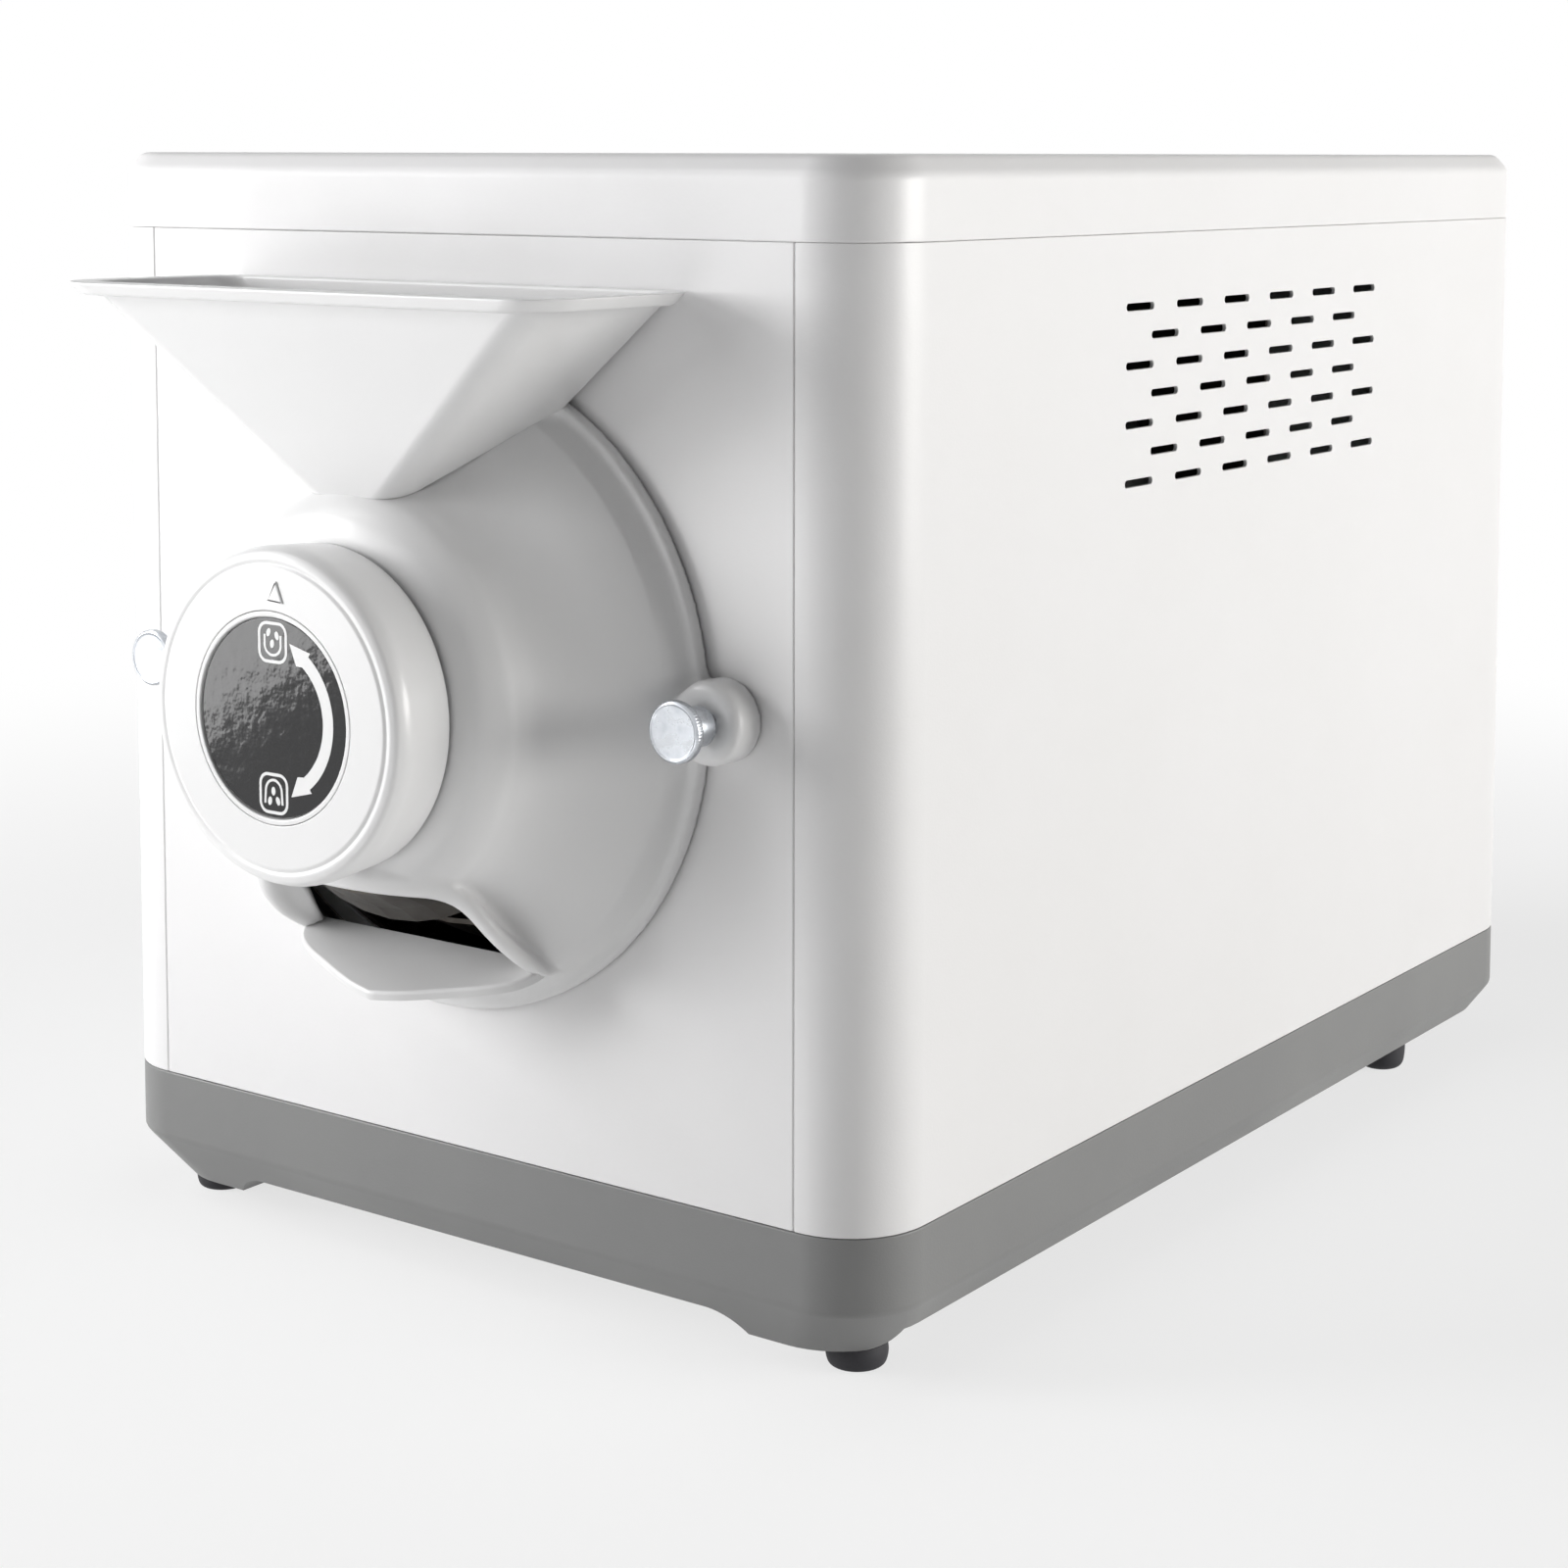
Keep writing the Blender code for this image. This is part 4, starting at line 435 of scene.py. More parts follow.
cabinet = {
    "width": 244.0,
    "depth": 355.0,
    "corner": 20.0,
    "return": 100.5,  # from the middle to where the side shell meets the front panel
    "sheet": 1.2,
    "edge": 0.35,  # softness of a folded or cut sheet edge
    "step": 1.5,
    "tab": 90.5,
    "closer": (0.25, 0.15),  # how much nearer to base and lid the sheets sit than the solids
    "overhang": 0.32,  # of the front sheet's side edges, also nearer
    "opening": 69.0,  # radius of the drum opening
}
vent = {
    "slot": (13.5, 1.8),  # before the soft edge widens it
    "pitch": 25.15,
    "rowPitch": 7.17,
    "rows": 7,
    "perRow": 6,
    "fromFront": 107.3,
    "fromTop": 17.8,
    "through": 4.0,  # reach of the cutter to either side of the sheet
}
shellLow, shellHigh = (corner.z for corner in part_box("side_shell_right"))
shellLow -= cabinet["closer"][0] * mm
shellHigh += cabinet["closer"][1] * mm
cabinetMiddle = (0, (frontY + rearY) / 2, 0)


def slotPrisms(name, side):
    # stadium outlines in the side's plane, each given depth across the sheet
    length, width = vent["slot"]
    angle = np.linspace(-pi / 2, pi / 2, 9)
    reach = length / 2 - width / 2
    right = arc(width / 2, angle, (reach, 0))
    outline = chain(right, -right)
    row = np.repeat(np.arange(vent["rows"]), vent["perRow"])
    column = np.tile(np.arange(vent["perRow"]), vent["rows"])
    keep = column < vent["perRow"] - row % 2
    row, column = row[keep], column[keep]
    along = vent["fromFront"] + length / 2 + vent["pitch"] * (column + (row % 2) / 2)
    down = vent["fromTop"] + row * vent["rowPitch"]
    y = frontY + (along[:, None] + outline[:, 0]) * mm
    z = shellHigh - (down[:, None] - outline[:, 1]) * mm
    x = side * (cabinet["width"] / 2 + np.array([-vent["through"], vent["through"]])) * mm
    count, around = y.shape
    points = np.stack(np.broadcast_arrays(x[None, :, None], y[:, None], z[:, None]), -1).reshape(-1, 3)
    wall = gridFaces(2, around, False, True)
    faces = []
    for k in range(count):
        first = k * 2 * around
        faces += (wall + first).tolist()
        faces += [list(range(first, first + around)), list(range(first + around, first + 2 * around))]
    cutter = newObject(name, points, faces)
    mergeMesh(cutter)
    return cutter


def makeShell(side, name, node):
    # plan of the folded sheet: tab, step, return, quarter circle, side, and the same at the rear
    c = cabinet
    halfW, halfD, sheet = c["width"] / 2, c["depth"] / 2, c["sheet"]
    turn = np.linspace(-pi / 2, 0, 17)
    middle = (halfW - c["corner"], c["corner"] - halfD)
    outer = chain(
        [(c["tab"], c["step"] - halfD), (c["return"], c["step"] - halfD), (c["return"], c["edge"] - halfD)],
        [(c["return"] + c["edge"], -halfD)],
        arc(c["corner"], turn, middle),
    )
    inner = chain(
        [(c["tab"], c["step"] + sheet - halfD), (c["return"] + sheet, c["step"] + sheet - halfD)],
        [(c["return"] + sheet, sheet - halfD)],
        arc(c["corner"] - sheet, turn, middle),
    )
    outline = chain(outer, outer[::-1] * (1, -1), inner * (1, -1), inner[::-1])
    flat = outline * mm * (side, 1)
    grid = np.stack([atHeight(flat, h) for h in (shellLow, shellHigh)])
    shell = surface(name, grid + np.array(cabinetMiddle))
    cutWith(shell, slotPrisms("vent_cutter", side))
    angle = math.radians(50)
    addModifier(shell, "BEVEL", width=c["edge"] * mm, segments=2, limit_method="ANGLE", angle_limit=angle)
    settle(shell)
    finishPiece(shell, "shell_white", "cabinet", (node,))


makeShell(1, "right_shell", "side_shell_right")
makeShell(-1, "left_shell", "side_shell_left")
print("side shells made")

lid = {
    "band": 14.5,
    "chamferIn": 3.8,
    "wall": 2.5,
    "soft": 1.6,
    "edge": 0.4,
    "closer": 0.2,  # how much nearer to the sheets its lower edge sits than the solid's
    "middle": 30.0,  # from the edge to the flat patch that closes the top
}


def makeLid():
    # profile of (inset, height) from the top's middle, over the chamfer, down, and up inside
    wall, soft, edge = lid["wall"], lid["soft"], lid["edge"]
    low, high = (corner.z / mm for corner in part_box("top_lid"))
    band = low + lid["band"]
    low -= lid["closer"]
    profile = softLine([
        (lid["middle"], high, 0),
        (lid["chamferIn"], high, soft),
        (0, band, soft),
        (0, low, edge),
        (wall, low, edge),
        (wall, band - wall / 2, soft),
        (wall + lid["chamferIn"], high - wall, soft),
        (lid["middle"], high - wall, 0),
    ])
    c = cabinet
    rings = [(c["width"] - 2 * i, c["depth"] - 2 * i, c["corner"] - i, h) for i, h in profile]
    finishPiece(roundedPrism("lid_shell", rings, cabinetMiddle), "shell_white", "cabinet", ("top_lid",))


def makeFrontPanel():
    # lines run from the round opening out to the straight edges, along the same bearings
    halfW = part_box("front_panel")[1].x / mm + cabinet["overhang"]
    up, down = (shellHigh - axisZ) / mm, (shellLow - axisZ) / mm
    corners = [math.atan2(v, h) for h in (halfW, -halfW) for v in (up, down)]
    angle = np.sort(chain(np.linspace(-pi, pi, 144, endpoint=False), corners))
    cos, sin = np.cos(angle), np.sin(angle)
    tall = np.where(sin > 0, up, down)
    sideways = halfW / np.maximum(np.abs(cos), 1e-9)
    upright = np.abs(tall) / np.maximum(np.abs(sin), 1e-9)
    reach = np.minimum(sideways, upright)
    edge = cabinet["edge"]
    sheet = cabinet["sheet"]
    t = np.linspace(0, pi / 2, 4)
    inset = chain([0], edge * (1 - np.cos(t)))
    depth = chain([-sheet], -edge * (1 - np.sin(t)))
    rows = []
    for i, d in zip(inset, depth):
        x, z = reach * cos, reach * sin
        rows.append(onAxis(np.clip(x, i - halfW, halfW - i), d, np.clip(z, down + i, up - i)))
    opening = cabinet["opening"]
    for radius, d in ((opening + edge, 0), (opening, -edge), (opening, -sheet)):
        rows.append(onAxis(radius * cos, d, radius * sin))
    piece = surface("front_sheet", np.array(rows), wrapRows=True)
    finishPiece(piece, "shell_white", "cabinet", ("front_panel",))


makeLid()
makeFrontPanel()
print("lid and front sheet made")


# Base and feet

base = {
    "band": 17.5,
    "skirtInset": 8.2,
    "skirtCorner": 21.0,
    "wall": 2.6,
    "floor": 2.5,
    "ledge": (3.5, 4.0),
    "bossWidth": 40.0,
    "bossLength": 15.2,
    "archRise": 5.3,
    "archRun": 10.0,
    "soft": 0.9,
    "padRadius": 7.4,
    "beyond": 5.0,  # how far the arch cutters reach past the tray
    "padReach": 9.0,  # and the pads that they leave, above and below
}


def makeBase():
    # outside: band and sloping skirt; inside: floor, wall and ledge, as one profile of (inset, height)
    b, c = base, cabinet
    low, high = (corner.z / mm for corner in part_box("base_tray"))
    front, rear = frontY / mm, rearY / mm
    skirtTop = high - b["band"]
    archTop = low + b["archRise"]
    ledgeTop = high - b["ledge"][1]
    ledgeIn = b["wall"] + b["ledge"][0]
    profile = softLine([
        (b["skirtInset"], low, 0),
        (0, skirtTop, 1.2),
        (0, high, b["soft"] / 2),
        (b["wall"], high, b["soft"] / 2),
        (b["wall"], ledgeTop, 0),
        (ledgeIn, ledgeTop, 0),
        (ledgeIn, archTop + b["floor"], 0),
    ])
    inset, height = profile.T
    # the corner radius shrinks with the inset, but on the skirt, the profile's start, it grows a little
    share = np.clip((height - low) / (skirtTop - low), 0, 1)
    skirtCorner = b["skirtCorner"] + (c["corner"] - b["skirtCorner"]) * share
    onSkirt = (height < skirtTop) & (np.arange(len(profile)) < len(profile) // 2)
    corner = np.where(onSkirt, skirtCorner, c["corner"] - inset)
    rings = [(c["width"] - 2 * i, c["depth"] - 2 * i, r, h) for i, h, r in zip(inset, height, corner)]
    tray = roundedPrism("base_shell", rings, cabinetMiddle)
    beyond = b["beyond"]
    innerX = c["width"] / 2 - b["bossWidth"]
    sweep = (b["archRun"] ** 2 + b["archRise"] ** 2) / (2 * b["archRise"])
    angle = np.linspace(math.acos(b["archRun"] / sweep), pi / 2, 13)
    half = arc(sweep, angle, (innerX - b["archRun"], archTop - sweep))
    half = chain([(innerX, low - beyond)], half)
    outline = chain(half, half[::-1] * (-1, 1))
    rows = []
    for y in (front - beyond, rear + beyond):
        rows.append(np.column_stack([outline[:, 0], np.full(len(outline), y), outline[:, 1]]) * mm)
    across = surface("arch_across", np.array(rows))
    bossEnd = front + b["bossLength"]
    angle = np.linspace(-pi / 2, 0, 9)
    curve = arc(b["archRise"], angle, (bossEnd, archTop))
    end = [(rear + beyond, archTop), (rear + beyond, low - beyond)]
    outline = chain([(bossEnd, low - beyond)], curve, end)
    rows = []
    for x in (-c["width"] / 2 - beyond, c["width"] / 2 + beyond):
        rows.append(np.column_stack([np.full(len(outline), x), outline]) * mm)
    along = surface("arch_along", np.array(rows))
    under, over = low - b["padReach"], archTop + b["padReach"]
    line = np.array([(0, under), (b["padRadius"], under), (b["padRadius"], over), (0, over)])
    for cutter in (across, along):
        for name in ("foot_front_left", "foot_front_right"):
            lower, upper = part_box(name)
            cutWith(cutter, standingPiece("pad", line, (lower + upper) / 2, 48))
        cutWith(tray, cutter)
    angle = math.radians(32)
    addModifier(tray, "BEVEL", width=b["soft"] * mm, segments=3, limit_method="ANGLE", angle_limit=angle)
    settle(tray)
    finishPiece(tray, "base_grey", "cabinet", ("base_tray",))


foot = {"radius": 7.4, "waist": 7.0, "tip": 6.6, "round": 3.0, "stem": (2.2, 5.0)}


def makeFeet():
    for name in ("foot_front_left", "foot_front_right", "foot_rear_left", "foot_rear_right"):
        low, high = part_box(name)
        stem, rise = foot["stem"]
        top = high.z / mm - rise
        line = softLine([
            (0, 0, 0),
            (foot["tip"], 0, foot["round"]),
            (foot["radius"], 0.55 * top, foot["round"]),
            (foot["waist"], top, 0.4),
            (stem, top, 0.2),
            (stem, high.z / mm, 0.5),
            (0, high.z / mm, 0),
        ], steps=8)
        piece = standingPiece(name.replace("foot", "rubber"), line, (low + high) / 2)
        finishPiece(piece, "rubber_black", "cabinet", (name,))


makeBase()
makeFeet()
print("base and feet made")


# Front cover, worked out as a signed distance in millimetres from its axis

cover = {
    "rim": 78.0,
    "rimBack": 0.45,
    "rimInside": 76.6,
    "face": 40.5,
    "wall": 2.2,
    "back": 1.4,
    "post": (6.0, 53.5, 29.8),  # radius, front and back
    "lug": (82.5, 9.5, 9.0),  # distance from the axis, radius and front
    "lugSoft": 2.6,
    "lugJoin": 2.2,
    "dish": (15.0, 1.3),  # radius and depth of the hollow in a lug's face
    "dishSoft": 1.2,
    "cavitySoft": 0.4,
    "blend": 3.2,  # between bell and hood
    "screwBore": 2.6,
    "pinBore": (2.4, 41.5),  # radius, and where it starts
    "slot": (24.0, 3.1, 34.0),  # radius and half width of the selector's way, and where it starts
    "throat": (11.5, 22.0, 9.5, 24.0),  # half width, middle and half depth, and where it starts
    "cell": 0.85,
    "space": ((-93.6, -1.2, -80.3), (93.6, 55.3, 80.3)),  # the cells lie between these corners
}
bellPoints = [
    (78.0, 3.5), (76.71, 5.39), (74.19, 8.19), (69.99, 12.0), (65.19, 16.01), (60.0, 20.01),
    (55.5, 24.01), (52.05, 28.01), (49.65, 32.01), (48.0, 35.0), (44.33, 38.67), (40.5, 40.1), (37.0, 40.5),
]
domePoints = [
    (75.66, 4.46), (72.7, 11.38), (69.03, 18.59), (65.99, 22.52), (62.4, 26.0), (57.49, 29.2),
    (52.42, 32.0), (47.97, 35.52), (41.96, 39.41), (36.97, 40.5),
]
hood = {
    "top": -38.0,
    "bottom": -64.0,
    "back": (4.0, 10.0, 36.0),  # forward, half width above and below
    "front": (41.0, 37.0, 60.0),
    "wall": 3.5,
    "sideWall": 2.8,
    "bead": 1.7,  # radius of the rolled edge round the mouth
    "beadBack": 0.9,  # how far behind the face its middle lies
    "beadSoft": 2.4,
    "edgeSoft": 7.0,  # between top and sides
    "innerSoft": 6.0,
    "faceSoft": 2.0,
    "footSoft": 0.6,
    "mouthSoft": 1.3,
    "mouthBack": 1.7,
    "under": 1.2,  # how far hood and bead reach below the tongue's upper face
    "mouthUnder": 1.8,
    "square": 0.68,  # turns a sideways distance into one square to a flaring side
}
tongue = {
    "halfWidth": 37.5,
    "thickness": 2.4,
    "edge": (11.4, -61.4),  # forward and height of its side corners
    "slope": math.radians(21.7),
    "reach": 31.2,
    "back": 3.0,
    "play": 0.3,  # beside it in its seat
    "seat": 1.5,  # half the seat's height
}


def polygonDistance(a, b, corners):
    # least distance to the sides, negative inside by the count of sides crossed
    nearest = np.full(a.shape, 1e9, np.float32)
    inside = np.zeros(a.shape, bool)
    for (p, q), (r, s) in zip(corners, np.roll(corners, -1, 0)):
        ex, ey = r - p, s - q
        wx, wy = a - p, b - q
        t = np.clip((wx * ex + wy * ey) / max(ex * ex + ey * ey, 1e-12), 0, 1)
        nearest = np.minimum(nearest, (wx - ex * t) ** 2 + (wy - ey * t) ** 2)
        crosses = (q > b) != (s > b)
        if ey:
            inside ^= crosses & (a < p + ex * (b - q) / ey)
    return np.where(inside, -1, 1) * np.sqrt(nearest)


def smoothMin(a, b, soft):
    # the lesser of the two, rounded off where they come within soft of each other
    h = np.maximum(soft - np.abs(a - b), 0) / soft
    return np.minimum(a, b) - h * h * soft / 4


def smoothMax(a, b, soft):
    return -smoothMin(-a, -b, soft)


bellLine = smoothCurve(bellPoints, 46)
rim, rimBack, rimInside = cover["rim"], cover["rimBack"], cover["rimInside"]
rimEdge = softLine([(rim, rimBack, 0), (rim, 3.7, 0.7), (75.5, 4.3, 0.5), (*bellLine[9], 0)])
rimLip = [(0, cover["back"]), (rimInside, cover["back"]), (rimInside, rimBack)]
bellOutline = chain(rimLip, rimEdge, bellLine[10:], [(0, cover["face"])])
domeOutline = chain([(0, -20), (76.5, -20)], smoothCurve(domePoints, 40), [(0, 40.5)])
ahead = np.gradient(bellLine, axis=0)
inward = np.stack([-ahead[:, 1], ahead[:, 0]], -1) / np.linalg.norm(ahead, axis=1)[:, None]
innerLine = bellLine + inward * cover["wall"]
cavityOutline = chain([(0, -20), (73.2, -20)], innerLine[innerLine[:, 0] < 73.0], [(0, 38.3)])


def hoodSides(x, forward, z):
    # how far a point is outside the hood's flaring sides, and above its top
    share = (forward - hood["back"][0]) / (hood["front"][0] - hood["back"][0])
    halfTop = hood["back"][1] + (hood["front"][1] - hood["back"][1]) * share
    halfBottom = hood["back"][2] + (hood["front"][2] - hood["back"][2]) * share
    drop = (hood["top"] - z) / (hood["top"] - hood["bottom"])
    return (np.abs(x) - halfTop - (halfBottom - halfTop) * drop) * hood["square"], z - hood["top"]


def tonguePlane(forward, z):
    # height over the tongue's upper face, square to it
    slope = tongue["slope"]
    return (z - tongue["edge"][1]) * math.cos(slope) + (forward - tongue["edge"][0]) * math.sin(slope)


def coverDistance(x, forward, z):
    # bell, hood and lugs, less the cavity and the mouth, with the mouth's bead, the post and the bores
    c, h = cover, hood
    r = np.hypot(x, z)
    bell = polygonDistance(r, forward, bellOutline)
    dome = polygonDistance(r, forward, domeOutline)
    sides, top = hoodSides(x, forward, z)
    over = tonguePlane(forward, z)
    hoodBody = smoothMax(smoothMax(sides, top, h["edgeSoft"]), dome, h["faceSoft"])
    hoodBody = smoothMax(hoodBody, -over - h["under"], h["footSoft"])
    hoodBody = np.maximum(hoodBody, c["back"] - forward)
    body = smoothMin(bell, hoodBody, c["blend"])
    offset, radius, face = c["lug"]
    fromLug = np.hypot(np.abs(x) - offset, z)
    boss = smoothMax(fromLug - radius, forward - face, c["lugSoft"])
    boss = np.maximum(boss, c["rimBack"] - forward)
    hollow, depth = c["dish"]
    dish = np.hypot(fromLug, forward - face - hollow + depth) - hollow
    body = smoothMin(body, smoothMax(boss, -dish, c["dishSoft"]), c["lugJoin"])
    body = smoothMax(body, -polygonDistance(r, forward, cavityOutline), c["cavitySoft"])
    inner = smoothMax(sides + h["sideWall"], top + h["wall"], h["innerSoft"])
    mouth = np.maximum(np.maximum(inner, -over - h["mouthUnder"]), h["mouthBack"] - forward)
    body = smoothMax(body, -mouth, h["mouthSoft"])
    bead = np.hypot(inner - h["bead"], dome + h["beadBack"]) - h["bead"]
    body = smoothMin(body, np.maximum(bead, -over - h["under"]), h["beadSoft"])
    radius, front, back = c["post"]
    body = np.minimum(body, np.maximum(r - radius, np.maximum(forward - front, back - forward)))
    radius, start = c["pinBore"]
    body = np.maximum(body, -np.maximum(r - radius, start - forward))
    beside = np.abs(x) - tongue["halfWidth"] - tongue["play"]
    seat = np.maximum(beside, np.abs(over + tongue["thickness"] / 2) - tongue["seat"])
    body = np.maximum(body, -seat)
    radius, half, start = c["slot"]
    slotWay = np.maximum(np.maximum(np.abs(r - radius) - half, x - half), start - forward)
    body = np.maximum(body, -slotWay)
    half, middle, halfDepth, bottom = c["throat"]
    throat = np.maximum(np.abs(x) - half, np.maximum(np.abs(forward - middle) - halfDepth, bottom - z))
    body = np.maximum(body, -throat)
    return np.maximum(body, c["screwBore"] - fromLug)


def surfaceNet(distance, low, high, cell):
    # one point in each cell that the surface crosses, at the mean of its edge crossings, and a quad
    # round each grid edge that it crosses; then a few steps down the slope put the points on it
    axes = [np.arange(a, b + cell, cell, dtype=np.float32) for a, b in zip(low, high)]
    counts = [len(a) for a in axes]
    value = np.empty(counts, np.float32)
    for first in range(0, counts[0], 24):
        x, f, z = np.meshgrid(axes[0][first:first + 24], axes[1], axes[2], indexing="ij")
        value[first:first + 24] = distance(x, f, z)
    solid = value < 0
    cells = tuple(n - 1 for n in counts)
    tally = np.zeros(cells, np.int8)
    for corner in np.ndindex(2, 2, 2):
        tally += solid[tuple(slice(c, c + n) for c, n in zip(corner, cells))]
    live = np.argwhere((tally > 0) & (tally < 8))
    number = np.full(cells, -1, np.int64)
    number[tuple(live.T)] = np.arange(len(live))
    unit = np.eye(3, dtype=int)
    total = np.zeros((len(live), 3))
    hits = np.zeros((len(live), 1))
    for axis in range(3):
        for corner in np.ndindex(2, 2):
            start = np.insert(np.array(corner), axis, 0)
            a, b = live + start, live + start + unit[axis]
            va, vb = value[tuple(a.T)], value[tuple(b.T)]
            hit = (va < 0) != (vb < 0)
            share = np.where(hit, va / np.where(hit, va - vb, 1), 0)[:, None]
            total += np.where(hit[:, None], a + share * (b - a), 0)
            hits += hit[:, None]
    points = total / hits * cell + np.array([a[0] for a in axes])
    quads = []
    for axis in range(3):
        one, u, v = unit[axis], unit[(axis + 1) % 3], unit[(axis + 2) % 3]
        a = solid[tuple(slice(0, n - e) for n, e in zip(counts, one))]
        b = solid[tuple(slice(e, n) for n, e in zip(counts, one))]
        edge = np.argwhere(a != b)
        outward = a[tuple(edge.T)]
        ring = np.stack([number[tuple((edge - d).T)] for d in (u + v, v, 0 * u, u)], 1)
        quads.append(np.where(outward[:, None], ring, ring[:, ::-1]))
    for _ in range(4):
        p = points.T
        here = distance(*p)
        slope = []
        for e in np.eye(3)[:, :, None] * 0.02:
            slope.append((distance(*(p + e)) - distance(*(p - e))) / 0.04)
        slope = np.stack(slope, 1)
        step = here[:, None] * slope / np.maximum((slope**2).sum(1), 0.2)[:, None]
        points = points - np.clip(step, -0.3 * cell, 0.3 * cell)
    return points, np.concatenate(quads)


# painted shade: a near black colour for the inside of the bell and the mouth, which also darkens a thin ring at
# the knob's edge
paintedShade = {
    "colour": (0.030, 0.028, 0.026),
    "bell": (76.5, 79.5),  # radius plus forward distance where the painted shade inside ends
    "face": (38.3, 39.5),  # forward distance where it ends behind the front face
}


def paintedShadeGroup():
    # mask of the painted shade: 1 inside the bell and the mouth, 0 on the outside
    group = socketGroup("paintedShadeInside", (), ("Inside",))
    leave = group.nodes.new("NodeGroupOutput")
    where = addNode(group, "TexCoord")
    move = addNode(group, "VectorMath", {1: (0, frontY, axisZ)}, operation="SUBTRACT")
    parts = addNode(group, "SeparateXYZ")
    flat = addNode(group, "VectorMath", {1: (1, 0, 1)}, operation="MULTIPLY")
    radius = addNode(group, "VectorMath", operation="LENGTH")
    total = addNode(group, "Math", operation="SUBTRACT")
    both = addNode(group, "Math", operation="MULTIPLY")
    wire(
        group,
        (where, "Object", move, 0),
        (move, "Vector", parts, "Vector"),
        (move, "Vector", flat, 0),
        (flat, "Vector", radius, 0),
        (radius, "Value", total, 0),
        (parts, "Y", total, 1),
        (both, 0, leave, "Inside"),
    )
    ends = ((total, 0, paintedShade["bell"], 1), (parts, "Y", paintedShade["face"], -1))
    for k, (source, leaving, limits, sign) in enumerate(ends):
        first, last = limits[0] * mm * sign, limits[1] * mm * sign
        values = {"From Min": first, "From Max": last, "To Min": 1, "To Max": 0}
        fade = addNode(group, "MapRange", values)
        wire(group, (source, leaving, fade, "Value"), (fade, "Result", both, k))
    return group


def enamelPaintedShade():
    # the same enamel, darkened to near black inside the bell and the mouth: painted shade where shade falls, not a
    # colour of the enamel
    made = finishes["gloss_white"]().copy()
    made.name = "enamel white, painted shade inside"
    tree = made.node_tree
    shader = tree.nodes["Principled BSDF"]
    inside = addNode(tree, "Group", node_tree=paintedShadeGroup())
    colour = addNode(tree, "Mix", {7: (*paintedShade["colour"], 1)}, data_type="RGBA")
    tree.links.new(shader.inputs["Base Color"].links[0].from_socket, colour.inputs[6])
    wire(tree, (inside, "Inside", colour, "Factor"), (colour, 2, shader, "Base Color"))
    return made


def makeCover():
    cell = cover["cell"] * 1
    points, quads = surfaceNet(coverDistance, *cover["space"], cell)
    obj = newObject("cover_casting", onAxis(*points.T), quads.tolist())
    with openMesh(obj) as work:
        bmesh.ops.recalc_face_normals(work, faces=work.faces)
    # the enamel has painted shade inside the bell and the mouth
    obj.data.materials.append(enamelPaintedShade())
    obj.data.shade_smooth()
    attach(obj, "cabinet")
    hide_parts("front_cover")
    print("cover has", len(quads) * 2, "triangles")


makeCover()
print("cover made")


def makeTongue():
    # the lip's outline bows forward; its face lies on the slope, with soft edges
    half, slope = tongue["halfWidth"], tongue["slope"]
    reach = tongue["reach"] - tongue["edge"][0]
    across = np.array([1.0, 0.975, 0.9, 0.75, 0.57, 0.39, 0.2, 0.0])
    along = np.array([0.0, 0.15, 0.33, 0.5, 0.64, 0.78, 0.91, 1.0])
    bow = smoothCurve(np.stack([half * across, reach * along], -1), 29)
    back = [(half, -tongue["back"])], [(-half, -tongue["back"])]
    outline = chain(back[0], bow, bow[-2::-1] * (-1, 1), back[1])

    def place(x, depth, forward):
        f = tongue["edge"][0] + forward * math.cos(slope) - depth * math.sin(slope)
        z = tongue["edge"][1] - forward * math.sin(slope) - depth * math.cos(slope)
        return onAxis(x, f, z)

    piece = plateFrom("tongue_lip", outline, tongue["thickness"], 0.9, place)
    finishPiece(piece, "gloss_white", "cabinet", ("outlet_tongue",), sharp=60)


def makeGasket():
    line = np.array([(76.4, 1.05), (76.4, 0.35), (73.0, 0.35), (73.0, 1.05)])
    finishPiece(turnedPiece("gasket_ring", line, wrap=True), "seal_fibre", "cabinet", ("cover_gasket",))


makeTongue()
makeGasket()
print("tongue and gasket made")


# Hopper

hopper = {
    "foot": 47.0,
    "top": 95.0,
    "lip": 3.0,
    "lipOut": 4.5,
    "lipBack": 1.2,
    "half": (14.0, 73.0),  # half width at the throat and at the top
    "front": (35.0, 50.5),
    "back": 2.0,
    "corner": (7.0, 8.5),
    "backCorner": (2.0, 7.0),
    "wall": 2.0,
    "soft": 0.7,
}


def hopperRing(height, inset, out, steps=9):
    # the plan grows in a straight line from the throat to the top
    h = hopper
    share = (height - h["foot"]) / (h["top"] - h["foot"])

    def grow(pair):
        return pair[0] + (pair[1] - pair[0]) * share

    half = grow(h["half"]) - inset + out
    front = grow(h["front"]) - inset + out
    back = h["back"] + inset - out * h["lipBack"] / h["lipOut"]
    corner = grow(h["corner"]) + out
    backCorner = grow(h["backCorner"]) + out
    quarter = np.linspace(0, pi / 2, steps)
    right = chain(
        arc(backCorner, quarter - pi / 2, (half - backCorner, back + backCorner)),
        arc(corner, quarter, (half - corner, front - corner)),
    )
    return chain(right, right[::-1] * (-1, 1))


